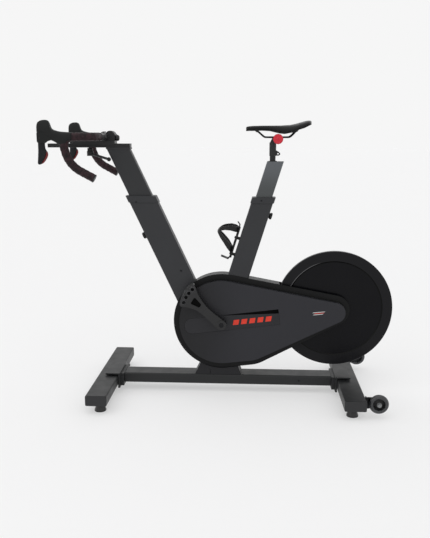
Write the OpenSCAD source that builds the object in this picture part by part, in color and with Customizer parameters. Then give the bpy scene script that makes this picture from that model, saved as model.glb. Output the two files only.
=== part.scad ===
// Indoor exercise bike: flat steel base, belt-drive housing with a rear flywheel,
// telescoping handlebar and saddle posts, drop bar and short saddle.
// Frame: +Z up, -X towards the handlebar, +X towards the flywheel, rider's left is -Y.
// Origin: on the floor, under the middle of the bike and below the crank axle.

/* [Base] */
// Width of the stabilizer and spine tubes
tube_w = 80; // [70:1:90]
// Height of the stabilizer and spine tubes
tube_h = 40; // [35:1:45]
// Wall of the base tubes
tube_t = 2.5; // [2:0.5:4]
// Length of each stabilizer across the bike
stab_len = 585; // [520:5:640]
// Underside height of the base tubes above the floor
base_z = 33; // [30:1:36]

/* [Housing] */
// Height of the crank axle
bb_z = 288; // [286:1:290]
// Front radius of the frame plates
plate_r = 191; // [188:1:194]
// Half thickness of the welded frame box
box_y = 28; // [27:0.5:29]
// Outer face of each side cover from the centre plane
cover_y = 47; // [46:0.5:48]
/* [Drive] */
// Flywheel diameter
fly_d = 457.2; // [440:0.1:460]
// Flywheel rim thickness
fly_t = 20; // [16:1:22]
// Drive pulley radius
pulley_big = 125; // [120:1:130]
// Flywheel pulley radius
pulley_small = 24; // [22.5:0.5:24]
// Pedal thread radius (9/16 inch)
pedal_r = 7.14; // [7.0:0.01:7.2]
// Inner face of the crank arms from the centre plane
arm_y = 60; // [58:1:64]
// Crank arm thickness
arm_t = 20; // [16:1:22]

/* [Posts] */
// Forward lean of the handlebar post from vertical
bar_lean = 25; // [24:0.5:26]
// Rearward lean of the saddle post from vertical
seat_lean = 17.2; // [16.5:0.1:18]
// Height of the outer tubes' cut tops
post_cut_z = 770; // [765:1:772]

/* [Cockpit] */
// Handlebar width, centre to centre at the hoods
bar_w = 420; // [400:5:430]
// Height of the handlebar centre
bar_z = 1007; // [1005:1:1009]
// Handlebar tube radius
bar_r = 12; // [11:0.5:12.5]
// Clamp bulge radius
bulge_r = 15.9; // [15.8:0.05:16]

/* [Saddle] */
// Saddle width at the sit bones
saddle_w = 143; // [130:1:155]
// Rail rod radius
rail_r = 3.5; // [3.5:0.05:3.6]
// Red clamp knob radius
knob_r = 19; // [17:0.5:20]

/* [Hidden] */
$fn = 64;

// base positions
stab_xf = -452;
stab_xr = 496;
foot_xf = -445;
foot_xr = 491;
foot_y = 250;
top_z = base_z + tube_h;
spine_x0 = -392;
spine_x1 = 436;
foot_r = 5;
wheel_c = [582, 55];
wheel_y = 270;

// frame box outline: three circles joined by their common tangents
C1 = [0, 290];
C2 = [439.5, 341];
C3 = [106, 232];
R1 = plate_r;
R2 = 60;
R3 = 120;
// cover outline
K1 = [0, 290];
K2 = [442, 334];
K3 = [106, 232];
Q1 = plate_r - 24;
Q2 = 40;
Q3 = 97;
fly_c = [439.5, 343];
fly_r = fly_d / 2;

steel = [0.22, 0.23, 0.24];
dark = [0.11, 0.11, 0.12];
black = [0.05, 0.05, 0.05];
metal = [0.6, 0.6, 0.62];
red = [0.85, 0.12, 0.15];

function arc(c, r, a0, a1, n) = [for (i = [0 : n]) c + r * [cos(a0 + (a1 - a0) * i / n), sin(a0 + (a1 - a0) * i / n)]];
function dirang(a, b) = atan2(b[1] - a[1], b[0] - a[0]);
function tang(a, ra, b, rb) = asin((ra - rb) / norm(b - a));
// closed outline around three circles, each radius changed by d
function tri(a, ra, b, rb, c, rc, d) =
  let (t12 = dirang(a, b) + 90 - tang(a, ra, b, rb),
       t13 = dirang(a, c) - 90 + tang(a, ra, c, rc) + 360,
       t32 = dirang(c, b) - 90 + tang(c, rc, b, rb) + 360)
  concat(arc(a, ra + d, t12, t13, 48), arc(c, rc + d, t13, t32, 6), arc(b, rb + d, t32, t12 + 360, 26));
function box_pts(d) = tri(C1, R1, C2, R2, C3, R3, d);
function cov_pts(d) = tri(K1, Q1, K2, Q2, K3, Q3, d);
function rrect(w, h, r, n = 5) = concat(
  arc([w/2 - r, h/2 - r], r, 0, 90, n), arc([-w/2 + r, h/2 - r], r, 90, 180, n),
  arc([-w/2 + r, -h/2 + r], r, 180, 270, n), arc([w/2 - r, -h/2 + r], r, 270, 360, n));

// prism over an X-Z outline, from y0 to y1
module xz(y0, y1) { translate([0, y1, 0]) rotate([90, 0, 0]) linear_extrude(y1 - y0) children(); }
// round bar along Y
module ybar(x, z, r, y0, y1) { translate([x, y0, z]) rotate([-90, 0, 0]) cylinder(r = r, h = y1 - y0); }
// round bar along X
module xbar(x0, x1, y, z, r) { translate([x0, y, z]) rotate([0, 90, 0]) cylinder(r = r, h = x1 - x0); }
// rounded rectangular tube along local Z
module rtube(w, h, r, t, z0, z1) {
  translate([0, 0, z0]) linear_extrude(z1 - z0) difference() {
    polygon(rrect(w, h, r));
    polygon(rrect(w - 2*t, h - 2*t, max(r - t, 0.8)));
  }
}
module rbar(w, h, r, z0, z1) { translate([0, 0, z0]) linear_extrude(z1 - z0) polygon(rrect(w, h, r)); }
module front_frame() { translate([-229.5, 0, 600]) rotate([0, -bar_lean, 0]) children(); }
module seat_frame() { translate([104.3, 0, 600]) rotate([0, seat_lean, 0]) children(); }
module above(z) { translate([-1000, -500, z]) cube([2000, 1000, 1200]); }
module below(z) { translate([-1000, -500, z - 1200]) cube([2000, 1000, 1200]); }
// straight round rod between two points
module rod(a, b, r) {
  v = b - a;
  translate(a) rotate([0, acos(v[2] / norm(v)), atan2(v[1], v[0])]) cylinder(r = r, h = norm(v), $fn = 24);
}

// ---------- base ----------
module base_spine() color(steel) {
  translate([0, 0, base_z + tube_h/2]) rotate([0, 90, 0]) rtube(tube_h, tube_w, 6, tube_t, spine_x0, spine_x1);
}
module stabilizer(x, fx) {
  difference() {
    translate([x, 0, base_z + tube_h/2]) rotate([90, 0, 0]) rtube(tube_w, tube_h, 5, tube_t, -stab_len/2, stab_len/2);
    for (s = [-1, 1]) translate([fx, s*foot_y, base_z - 1]) cylinder(r = 12, h = tube_t + 2);
  }
  // welded nuts for the levelling feet
  for (s = [-1, 1]) translate([fx, s*foot_y, base_z]) difference() {
    cylinder(r = 12, h = 16);
    translate([0, 0, -1]) cylinder(r = foot_r + 0.05, h = 18);
  }
}
module front_stabilizer() color(steel) stabilizer(stab_xf, foot_xf);
module rear_stabilizer() color(steel) difference() {
  stabilizer(stab_xr, foot_xr);
  for (s = [-1, 1], z = [43, 63]) xbar(stab_xr + tube_w/2 - 6, stab_xr + tube_w/2 + 3, s*253, z, 3);
}
// L plate over each stabilizer with the spine's end flange
module bracket_one() {
  translate([-462, -78, top_z + 4]) cube([54, 156, 6]);
  translate([-412, -78, 22]) cube([8, 156, top_z + 10 - 22]);
  translate([-404, -54, 24]) cube([12, 108, top_z + 2 - 24]);
}
module stabilizer_brackets() color(steel) {
  bracket_one();
  translate([44, 0, 0]) mirror([1, 0, 0]) bracket_one();
}
module bracket_pads() color(black) {
  for (x = [-456, 458]) translate([x, -60, top_z]) cube([42, 120, 4]);
}
module stabilizer_end_caps() color(dark) {
  for (x = [stab_xf, stab_xr], s = [-1, 1])
    translate([x, s*(stab_len/2), base_z + tube_h/2]) rotate([s*-90, 0, 0]) {
      translate([0, 0, 0]) linear_extrude(2) polygon(rrect(tube_w - 1, tube_h - 1, 5));
      translate([0, 0, -12]) rtube(tube_w - 2*tube_t - 0.4, tube_h - 2*tube_t - 0.4, 2.5, 2, 0, 12);
    }
}
module hexhead(r, h) cylinder(r = r, h = h, $fn = 6);
// transport wheel axles
module wheel_axles() color(metal) {
  for (s = [-1, 1]) {
    ybar(wheel_c[0], wheel_c[1], 4, s < 0 ? -wheel_y - 15 : 251, s < 0 ? -251 : wheel_y + 15);
    ybar(wheel_c[0], wheel_c[1], 7, s < 0 ? -wheel_y - 17 : wheel_y + 13, s < 0 ? -wheel_y - 13 : wheel_y + 17);
  }
}
module pedestal() color(dark) difference() {
  hull() {
    translate([-106, -38, top_z]) cube([184, 76, 1]);
    translate([-82, -27, 122]) cube([142, 54, 1]);
  }
  hull() {
    translate([-102, -34, top_z - 1]) cube([176, 68, 1]);
    translate([-78, -23, 123]) cube([134, 46, 1]);
  }
  xz(-60, 60) polygon(box_pts(0));
  // lap line between the two folded plates
  for (s = [-1, 1]) translate([-45, s*36 - 3, top_z - 1]) rotate([0, -4, 0]) cube([1.2, 6, 60]);
}

// ---------- frame box ----------
module side_plate(s) {
  y0 = s < 0 ? -box_y : box_y - 3;
  difference() {
    union() {
      xz(y0, y0 + 3) polygon(box_pts(0));
      ybar(fly_c[0], fly_c[1], 24, s < 0 ? -box_y + 3 : 14, s < 0 ? -14 : box_y - 3);
    }
    ybar(0, bb_z, 18, -40, 40);
    ybar(fly_c[0], fly_c[1], 17.5, -40, 40);
    for (p = screw_pts) ybar(p[0], p[1], 2.1, s < 0 ? -40 : 20, s < 0 ? -20 : 40);
  }
}
screw_pts = [[-128, 352], [-130, 232], [-10, 432], [-10, 150], [180, 405], [230, 210], [360, 365], [455, 306]];
module side_plate_left() color(dark) side_plate(-1);
module side_plate_right() color(dark) side_plate(1);
module frame_shell() color(steel) {
  difference() {
    xz(-box_y + 3, box_y - 3) difference() {
      polygon(box_pts(0));
      polygon(box_pts(-3));
    }
    ybar(fly_c[0], fly_c[1], fly_r + 8, -40, 40);
    front_frame() rbar(100, 60, 8, -300, 60);
    seat_frame() rbar(80, 60, 8, -300, 60);
  }
  // crank bearing shell
  difference() {
    ybar(0, bb_z, 22, -box_y + 3, box_y - 3);
    ybar(0, bb_z, 18, -40, 40);
  }
}
module bearing(x, z, ri, ro, y0, y1) {
  difference() { ybar(x, z, ro, y0, y1); ybar(x, z, ri, y0 - 1, y1 + 1); }
}
module bearings() color(metal) {
  for (s = [-1, 1]) {
    bearing(0, bb_z, 12.05, 18, s < 0 ? -24 : 14, s < 0 ? -14 : 24);
    bearing(fly_c[0], fly_c[1], 8.55, 17.5, s < 0 ? -27 : 15, s < 0 ? -15 : 27);
  }
}
// side cover: hollow shell
module cover(s) {
  yo = cover_y;
  difference() {
    xz(box_y, yo) polygon(cov_pts(0));
    xz(box_y - 1, yo - 3) polygon(cov_pts(-3));
    ybar(0, bb_z, 15, 20, 60);
    // shallow recess for the badge strip
    xz(yo - 1.5, yo + 1) polygon(strip_pts(0));
    // deep slot above the strip
    xz(yo - 2.5, yo + 1) polygon(slot_pts);
  }
}
strip_a = dirang([0, bb_z], fly_c);
function sp(u, v) = [0, bb_z] + u * [cos(strip_a), sin(strip_a)] + v * [-sin(strip_a), cos(strip_a)];
function strip_pts(d) = concat([sp(228 + d, -31.5 - d), sp(228 + d, 31.5 + d)],
  [for (i = [0 : 8]) sp(-118 + (30 + d) * cos(90 + i * 11.25), 1.5 + (30 + d) * sin(90 + i * 11.25))],
  [for (i = [0 : 8]) sp(-118 + (30 + d) * cos(180 + i * 11.25), -1.5 + (30 + d) * sin(180 + i * 11.25))]);
slot_pts = [sp(4, 30.2), sp(227.4, 14), sp(227.4, 30.9), sp(4, 30.9)];
module left_cover() color(steel) mirror([0, 1, 0]) cover(-1);
module right_cover() color(steel) difference() {
  cover(1);
  // hole for the power inlet
  ybar(-70, 180, 7.05, box_y - 2, cover_y + 2);
}
module strip_one() difference() {
  xz(cover_y - 1.5, cover_y - 0.6) polygon(strip_pts(-0.6));
  xz(cover_y - 2.5, cover_y + 1) polygon(slot_pts);
  ybar(0, bb_z, 15, 20, 60);
}
module badge_strips() color([0.26, 0.26, 0.28]) {
  strip_one();
  mirror([0, 1, 0]) strip_one();
}
module screw(d) { cylinder(r = 2, h = d, $fn = 24); translate([0, 0, d]) cylinder(r = 4.5, h = 1.5, $fn = 24); }
module frame_screws() color(black) {
  for (s = [-1, 1]) mirror([0, s < 0 ? 1 : 0, 0]) {
    for (p = screw_pts) translate([p[0], cover_y - 5.5, p[1]]) rotate([90, 0, 0]) cylinder(r = 2, h = 16, $fn = 24);
    // screws through the post sides and collars
    front_frame() translate([17, 25, -127]) rotate([-90, 0, 0]) cylinder(r = 4, h = 1.4, $fn = 24);
    front_frame() translate([-24, 28, 189]) rotate([-90, 0, 0]) cylinder(r = 3.2, h = 1.2, $fn = 24);
    seat_frame() translate([-6, 28, 174]) rotate([-90, 0, 0]) cylinder(r = 3.2, h = 1.2, $fn = 24);
    translate([308, tube_w/2, 53]) rotate([-90, 0, 0]) cylinder(r = 4, h = 1.4, $fn = 24);
  }
  // bottle cage bolts
  for (s = [6, -60]) seat_frame() translate([-58, 0, s]) rotate([0, -90, 0]) cylinder(r = 4.5, h = 3, $fn = 24);
}

// ---------- posts ----------
module front_post_outer() color(steel) difference() {
  front_frame() rtube(100, 50, 6, 2.5, -275, 240);
  above(post_cut_z);
  front_frame() translate([-60, 0, 57]) rotate([0, 90, 0]) cylinder(r = 4.05, h = 20);
}
module front_post_collar() color(steel) difference() {
  front_frame() rbar(106, 56, 8, 120, 260);
  above(784);
  below(758);
  difference() { front_frame() rbar(100, 50, 6, 100, 240); above(post_cut_z); }
  front_frame() rbar(81, 41, 5.4, 100, 280);
}
module seat_post_outer() color([0.3, 0.31, 0.32]) difference() {
  seat_frame() rtube(80, 50, 6, 2.5, -222, 220);
  above(post_cut_z);
  seat_frame() translate([40, 0, 126]) rotate([0, 90, 0]) translate([0, 0, -10]) cylinder(r = 4.05, h = 20);
}
module seat_post_collar() color(steel) difference() {
  seat_frame() rbar(86, 56, 8, 120, 260);
  above(780);
  below(757);
  difference() { seat_frame() rbar(80, 50, 6, 100, 240); above(post_cut_z); }
  seat_frame() rbar(61, 41, 5.4, 100, 280);
}
// bottle cage: back strip on two bosses, hoop band, diagonal straps and bottom wire
module bottle_cage() color(black) seat_frame() {
  translate([-58, -10, -75]) cube([9, 20, 125]);
  for (v = [6, -60]) translate([-50, 0, v]) rotate([0, 90, 0]) cylinder(r = 6, h = 10);
  intersection() {
    difference() {
      translate([cage_u, 0, -70]) cylinder(r = 39.4, h = 130);
      translate([cage_u, 0, -71]) cylinder(r = 36.6, h = 132);
    }
    xz(-60, 60) polygon([[-134, 11], [-129.4, 21], [-121.5, 31.5], [-110.5, 39.6], [-86.4, 49.5], [-68.9, 51.4], [-51, 50],
      [-51, 29], [-84, 30.8], [-105, 25.9], [-117, 19], [-116.5, 9.4], [-96.8, -2.7], [-77, -14.7], [-61.6, -28], [-51, -36],
      [-51, -60], [-62, -51], [-76, -39.7], [-95, -22.7], [-116, -6.5], [-126.9, 3.7]]);
  }
  // bottom wire
  for (s = [-1, 1]) {
    rod([-52, s*8, -66], [-60, s*12, -82], 2);
    rod([-60, s*12, -82], [-88, s*12, -79.5], 2);
    translate([-60, s*12, -82]) sphere(r = 2.05, $fn = 20);
    translate([-88, s*12, -79.5]) sphere(r = 2.05, $fn = 20);
  }
  rod([-88, -12, -79.5], [-88, 12, -79.5], 2);
  // top hook
  rod([-53.5, 0, 48], [-56, 0, 60], 2.4);
  rod([-56, 0, 60], [-67, 0, 68], 2.4);
  translate([-56, 0, 60]) sphere(r = 2.45, $fn = 20);
}
cage_u = -92.5;

// ---------- resistance and electrics ----------
module resistance_unit() color(dark) {
  translate([170, -25, 312]) difference() {
    cube([80, 50, 66]);
    translate([34, 25 - fly_t/2 - 3, -1]) cube([50, fly_t + 6, 68]);
  }
  // motor and control case
  translate([-150, -25, 208]) cube([62, 38, 56]);
}
module power_inlet() color(black) difference() {
  union() {
    ybar(-70, 180, 7, 30, cover_y + 1.5);
    ybar(-70, 180, 9.5, cover_y, cover_y + 1.5);
  }
  ybar(-70, 180, 3.1, cover_y - 8.5, cover_y + 3);
}
belt_d = norm(fly_c - [0, bb_z]);
belt_a = dirang([0, bb_z], fly_c);
belt_g = asin((pulley_big - pulley_small) / belt_d);
function loop_pts(e) = concat(
  arc([0, bb_z], pulley_big + e, belt_a + 90 - belt_g, belt_a + 270 + belt_g, 40),
  arc(fly_c, pulley_small + e, belt_a + 270 + belt_g, belt_a + 450 - belt_g, 20));
module drive_belt() color(black) xz(-42, -31) difference() {
  polygon(loop_pts(2.8));
  polygon(loop_pts(0.5));
}

// ---------- feet and wheels ----------
module foot(x, y) color(metal) translate([x, y, 0]) rotate_extrude()
  polygon([[0, 0], [22, 0], [22, 5], [20, 11], [15, 24], [15, 27], [9, 27], [9, 31], [foot_r, 31], [foot_r, 60], [0, 60]]);
module foot_front_left() foot(foot_xf, -foot_y);
module foot_front_right() foot(foot_xf, foot_y);
module foot_rear_left() foot(foot_xr, -foot_y);
module foot_rear_right() foot(foot_xr, foot_y);
module wheel_brackets() color(black) for (s = [-1, 1]) mirror([0, s < 0 ? 1 : 0, 0]) difference() {
  union() {
    translate([stab_xr + tube_w/2, 243, 31]) cube([4, 16, 44]);
    xz(251, 257) polygon([[stab_xr + tube_w/2, 31], [560, 33], [586, 43], [594, 52], [592, 62], [584, 67], [560, 75], [stab_xr + tube_w/2, 75]]);
  }
  ybar(wheel_c[0], wheel_c[1], 4, 240, 265);
}
module wheel(s) color([0.3, 0.3, 0.32]) translate([wheel_c[0], s*wheel_y, wheel_c[1]]) rotate([90, 0, 0]) rotate_extrude()
  polygon(concat([[4.05, -11], [10, -11], [10, -7], [22, -7], [24, -11]],
    [for (i = [0 : 8]) [25 + 11 * sin(i * 22.5), -11.2 * cos(i * 22.5)]],
    [[24, 11], [22, 7], [10, 7], [10, 11], [4.05, 11]]));
module wheel_left() wheel(-1);
module wheel_right() wheel(1);

// ---------- crank ----------
module crank_axle() color(metal) {
  ybar(0, bb_z, 12, -arm_y - arm_t + 6, arm_y + arm_t - 6);
}
hole_r = [180, 177.5, 175, 170];
hole_a = [128.4, 134.9, 141.2, 148.6];
module arm_shape() {
  difference() {
    union() {
      circle(r = 20);
      polygon([[13.4, 14.9], [-10.9, 32.7], [-34.6, 51.3], [-56.2, 72.1], [-75, 96], [-90, 122], [-99, 146], [-104, 161],
        [-112, 163.5], [-121, 161], [-132, 151], [-141, 141], [-148, 128], [-154, 114], [-158, 99], [-162, 84], [-161, 76],
        [-154, 71.5], [-138.3, 70.7], [-116, 65.5], [-95.8, 58], [-78.9, 46.8], [-56.6, 26.7], [-35, 6], [-13.4, -14.9]]);
    }
    for (i = [0 : 3]) rotate(hole_a[i]) translate([hole_r[i], 0]) circle(r = pedal_r);
  }
}
// arm drawn in the X-Z plane about the crank axle; its thicker boss faces the axle
module crank_arm() difference() {
  union() {
    translate([0, arm_y + 4, bb_z]) rotate([90, 0, 0]) mirror([0, 0, 1]) linear_extrude(arm_t - 6) arm_shape();
    ybar(0, bb_z, 19, arm_y - 8, arm_y + arm_t);
  }
  ybar(0, bb_z, 12, arm_y - 20, arm_y + arm_t - 6);
  // pocket
  xz(arm_y + arm_t - 7, arm_y + arm_t + 1) translate([0, bb_z]) polygon([[-101, 108], [-106, 107], [-118, 88], [-117, 83], [-88, 70], [-82, 72], [-78, 80], [-80, 85]]);
}
module crank_arm_right() color(dark) translate([0, 0, bb_z]) rotate([0, 180, 0]) translate([0, 0, -bb_z]) crank_arm();
module crank_arm_left() color(dark) mirror([0, 1, 0]) crank_arm();
module crank_bolts() color(metal) for (s = [-1, 1]) mirror([0, s < 0 ? 1 : 0, 0]) difference() {
  ybar(0, bb_z, 9, arm_y + arm_t, arm_y + arm_t + 3);
  translate([0, arm_y + arm_t + 4, bb_z]) rotate([90, 0, 0]) cylinder(r = 4.6, h = 3, $fn = 6);
}
module drive_pulley() color(dark) difference() {
  union() {
    difference() {
      ybar(0, bb_z, pulley_big, -42, -31);
      ybar(0, bb_z, pulley_big - 9, -43, -38.5);
      ybar(0, bb_z, pulley_big - 9, -34.5, -30);
    }
    ybar(0, bb_z, 20, -43, -30);
  }
  ybar(0, bb_z, 12, -50, -20);
  for (i = [0 : 4]) translate([0, 0, bb_z]) rotate([0, i * 72, 0]) translate([70, 0, 0]) ybar(0, 0, 24, -50, -20);
}

// ---------- flywheel ----------
module flywheel() color(black) translate([fly_c[0], 0, fly_c[1]]) rotate([90, 0, 0]) rotate_extrude($fn = 128)
  polygon([[8.5, -12], [30, -12], [30, -7], [186, -7], [190, -fly_t/2], [fly_r - 2, -fly_t/2], [fly_r, -fly_t/2 + 2],
    [fly_r, fly_t/2 - 2], [fly_r - 2, fly_t/2], [190, fly_t/2], [186, 7], [30, 7], [30, 12], [8.5, 12]]);
module flywheel_shaft() color(metal) ybar(fly_c[0], fly_c[1], 8.5, -43, 40);
module flywheel_pulley() color(metal) difference() {
  ybar(fly_c[0], fly_c[1], pulley_small, -42, -31);
  ybar(fly_c[0], fly_c[1], 8.5, -50, -20);
}

// ---------- handlebar post and rail ----------
module front_post_inner() color(steel) {
  difference() {
    front_frame() rtube(80, 40, 5, 2.5, -65, 460);
    above(961);
  }
  translate([-397.5, 0, 961]) linear_extrude(6) polygon(rrect(94, 44, 3));
}
lock_x = -510;
module handlebar_rail() color(metal) difference() {
  translate([-511, 0, 967]) linear_extrude(15) polygon(rrect(318, 44, 4));
  translate([-541, 0, 960]) linear_extrude(30) polygon(rrect(172, 10, 4.9, 6));
}
module bar_carriage() color(steel) {
  difference() {
    union() {
      translate([-491.5, 0, 982.4]) linear_extrude(9.6) polygon(rrect(165, 52, 4));
      for (s = [-1, 1]) translate([-491.5, s*24.2, 978]) linear_extrude(5) polygon(rrect(165, 3.6, 1));
      translate([-449, -20, 991]) cube([40, 40, 26]);
      ybar(-427, 1012, 18, -20, 20);
    }
    ybar(-449, bar_z, bulge_r, -40, 40);
    translate([-480, -30, 992]) cube([31, 60, 60]);
  }
  // lock stud through the rail slot
  translate([lock_x, 0, 955]) cylinder(r = 4, h = 28);
}
module stem_clamp() color(metal) {
  difference() {
    ybar(-449, bar_z, 20.5, -18, 18);
    ybar(-449, bar_z, bulge_r, -40, 40);
    translate([-449.8, -30, 970]) cube([60, 60, 80]);
    translate([-480, -30, 960]) cube([60, 60, 32.5]);
  }
  for (s = [-1, 1]) translate([-470, s*12, 1019]) rotate([0, 90, 0]) cylinder(r = 3, h = 4);
  // round-headed lock bolt at the back
  translate([-409, 0, 1003]) rotate([0, 90, 0]) rotate_extrude() polygon([[0, 0], [10, 0], [11.5, 3], [11.5, 8], [9.5, 12], [6, 14], [0, 14]]);
}
// round bend in a plane: centre, bend radius, rod radii, angles
module bend(R, ro, ri, a0, a1) rotate(a0) rotate_extrude(angle = a1 - a0) translate([R, 0]) difference() {
  circle(r = ro, $fn = 24);
  if (ri > 0) circle(r = ri, $fn = 24);
}
module seg(a, b, ro, ri) {
  v = b - a;
  translate(a) rotate([0, acos(v[2] / norm(v)), atan2(v[1], v[0])]) difference() {
    cylinder(r = ro, h = norm(v), $fn = 24);
    if (ri > 0) translate([0, 0, -1]) cylinder(r = ri, h = norm(v) + 2, $fn = 24);
  }
}
hx = -521;
hz = bar_z - 32;
p0 = [hx - 32 * cos(15), hz - 32 * sin(15)];
p1 = p0 + 15.5 * [sin(15), -cos(15)];
dc = p1 + 105 * [cos(15), sin(15)];
p2 = dc + 105 * [cos(242), sin(242)];
p3 = p2 + 52 * [cos(28), -sin(28)];
// one side of the drop bar on +Y
module drop_side(ro, ri, y_in) {
  yy = bar_w/2;
  seg([-449, y_in, bar_z], [-449, yy - 45, bar_z], ro, ri);
  translate([-494, yy - 45, bar_z]) bend(45, ro, ri, 0, 90);
  seg([-494, yy, bar_z], [hx, yy, bar_z], ro, ri);
}
module hook_side(ro, ri) translate([0, bar_w/2, 0]) {
  seg([p0[0], 0, p0[1]], [p1[0], 0, p1[1]], ro, ri);
  translate([dc[0], 0, dc[1]]) rotate([90, 0, 0]) bend(105, ro, ri, 195, 242);
  seg([p2[0], 0, p2[1]], [p3[0], 0, p3[1]], ro, ri);
}
module handlebar() color(black) {
  yb = bar_w/2 - 45;
  translate([-449, 0, bar_z]) rotate([-90, 0, 0]) rotate_extrude()
    polygon([[0, -yb], [bar_r, -yb], [bar_r, -59], [bulge_r, -45], [bulge_r, 45], [bar_r, 59], [bar_r, yb], [0, yb]]);
  for (s = [0, 1]) mirror([0, s, 0]) {
    translate([-494, yb, bar_z]) bend(45, bar_r, 0, 0, 90);
    seg([-494, bar_w/2, bar_z], [hx, bar_w/2, bar_z], bar_r, 0);
    translate([hx, bar_w/2, hz]) rotate([90, 0, 0]) bend(32, bar_r - 0.05, 0, 90, 195);
    hook_side(bar_r, 0);
    seg([p3[0], bar_w/2, p3[1]], [p3[0] + 3 * cos(28), bar_w/2, p3[1] - 3 * sin(28)], 15, 0);
  }
}
module bar_tape() color([0.15, 0.06, 0.07]) for (s = [0, 1]) mirror([0, s, 0]) {
  drop_side(15.2, bar_r, 118);
  hook_side(15.2, bar_r);
}
hood_out = [[-645, 1040], [-645.3, 1053.2], [-637.1, 1062.2], [-626, 1065.4], [-614.9, 1065.9], [-605.2, 1062.7],
  [-601.6, 1058.5], [-599.3, 1047.9], [-598.1, 1038.3], [-589.1, 1031.9], [-561.9, 1023.9], [-530, 1021.5],
  [-521.5, 1021], [-521.5, 1005], [-528, 996], [-538, 988.5], [-544, 970.5], [-556, 968], [-566, 976.5], [-574, 982],
  [-585.6, 989.3], [-601.9, 994.8], [-612, 998], [-620, 1004], [-626, 1012], [-636, 1014], [-645, 1014]];
lever_p = [-634, 1002];
module brake_hoods() color(black) for (s = [0, 1]) mirror([0, s, 0]) {
  difference() {
    xz(bar_w/2 - 17, bar_w/2 + 17) polygon(hood_out);
    // channel for the bar
    xz(bar_w/2 - bar_r, bar_w/2 + bar_r) polygon(concat(arc([hx, hz], 32 + bar_r, 85, 205, 24), [[hx, hz - 30]]));
  }
  // cheeks that carry the lever pin
  for (t = [-1, 1]) difference() {
    xz(bar_w/2 + (t < 0 ? -17 : 10), bar_w/2 + (t < 0 ? -10 : 17)) polygon([[-644, 1017], [-643, 1000], [-638, 993], [-630, 993], [-624, 999], [-617, 1000], [-616, 1004], [-620, 1008], [-626, 1016], [-636, 1018]]);
    ybar(lever_p[0], lever_p[1], 2.55, 150, 260);
  }
}
module brake_lever() {
  difference() {
    xz(bar_w/2 - 8.5, bar_w/2 + 8.5) polygon([[-644.5, 1005], [-641, 1009], [-634, 1010], [-629, 1007.5], [-625.5, 1002], [-622.5, 994],
      [-620, 988], [-621, 978], [-620, 966], [-615, 958], [-618.2, 955.5], [-623.3, 938.8], [-632.9, 922.5], [-638.2, 911],
      [-644, 909.4], [-649, 916.5], [-646.3, 945], [-645.3, 957], [-644.8, 985]]);
    // bore for the paddle pin
    translate([pad_x, bar_w/2, 920]) cylinder(r = 2.05, h = 46);
  }
  ybar(lever_p[0], lever_p[1], 2.5, bar_w/2 - 17, bar_w/2 + 17);
}
pad_x = -624;
module brake_lever_left() color(black) mirror([0, 1, 0]) brake_lever();
module brake_lever_right() color(black) brake_lever();
module shift_paddle() {
  xz(bar_w/2 - 4.5, bar_w/2 + 4.5) polygon([[-636.5, 911.8], [-625.1, 918.1], [-614.9, 932.8], [-611, 943.6], [-613.5, 956],
    [-616.5, 954.5], [-621.7, 938.1], [-631.2, 922]]);
  // pin on the turning axis
  translate([pad_x, bar_w/2, 925]) cylinder(r = 2, h = 39);
}
module shift_paddle_left() color(red) mirror([0, 1, 0]) shift_paddle();
module shift_paddle_right() color(red) shift_paddle();
module rail_lever() color(black) difference() {
  union() {
    translate([lock_x, 0, 0]) rotate([0, 0, 90]) rotate_extrude() polygon([[0, 935], [11.5, 935], [12.5, 936], [12.5, 952], [10.5, 954.5], [10.5, 963], [9, 965], [0, 965]]);
    rod([lock_x, 0, 944], [lock_x + 80, -46, 924], 4.9);
    translate([lock_x + 82, -47, 923.5]) sphere(r = 8, $fn = 32);
  }
  translate([lock_x, 0, 953]) cylinder(r = 4.05, h = 20);
}

// ---------- saddle post and saddle ----------
stub_x = 191;
module seat_post_inner() color([0.34, 0.35, 0.36]) {
  difference() {
    seat_frame() rtube(60, 40, 5, 2.5, -75, 360);
    above(912.5);
  }
  intersection() {
    seat_frame() rbar(60, 40, 5, 250, 360);
    translate([0, -40, 912.5]) cube([400, 80, 3]);
  }
  translate([stub_x, 0, 915.5]) cylinder(r = 16, h = 2);
  translate([stub_x, 0, 915.5]) cylinder(r = 11.1, h = 53.5);
}
clamp_c = [209, 999];
module saddle_head() color(dark) difference() {
  union() {
    translate([stub_x, 0, 936]) cylinder(r = 13, h = 50);
    // pinch lug
    xz(-9, 9) polygon([[200, 937], [214, 937], [219, 941], [219, 946], [214, 951], [204, 957], [200, 957]]);
    xz(-13.5, 13.5) polygon([[180, 985], [203, 985], [214, 990], [218, 996], [218, 1003], [212, 1008], [196, 1008], [190, 1005], [184, 994]]);
  }
  translate([stub_x, 0, 930]) cylinder(r = 11.15, h = 42);
  ybar(211, 944, 3, -20, 20);
  translate([200, -0.8, 936]) cube([30, 1.6, 30]);
  ybar(clamp_c[0], clamp_c[1], 2.95, -30, 30);
}
module saddle_clamp() color(dark) {
  for (s = [-1, 1]) mirror([0, s < 0 ? 1 : 0, 0]) difference() {
    ybar(clamp_c[0], clamp_c[1], 15.5, 14.5, 29);
    xbar(180, 240, 22, 1005.5, rail_r + 0.05);
  }
  ybar(clamp_c[0], clamp_c[1], 2.9, -48, 30);
  translate([clamp_c[0], 29, clamp_c[1]]) rotate([-90, 0, 0]) hexhead(8, 6);
}
module saddle_knob() color(red) difference() {
  translate([clamp_c[0], -29.5, clamp_c[1]]) rotate([90, 0, 0]) union() {
    cylinder(r = 9, h = 6);
    translate([0, 0, 6]) cylinder(r = knob_r, h = 14);
  }
  ybar(clamp_c[0], clamp_c[1], 2.95, -60, -20);
  for (i = [0 : 11]) translate([clamp_c[0], 0, clamp_c[1]]) rotate([0, i * 30, 0]) ybar(knob_r + 3.2, 0, 4.5, -51, -34);
}
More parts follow.
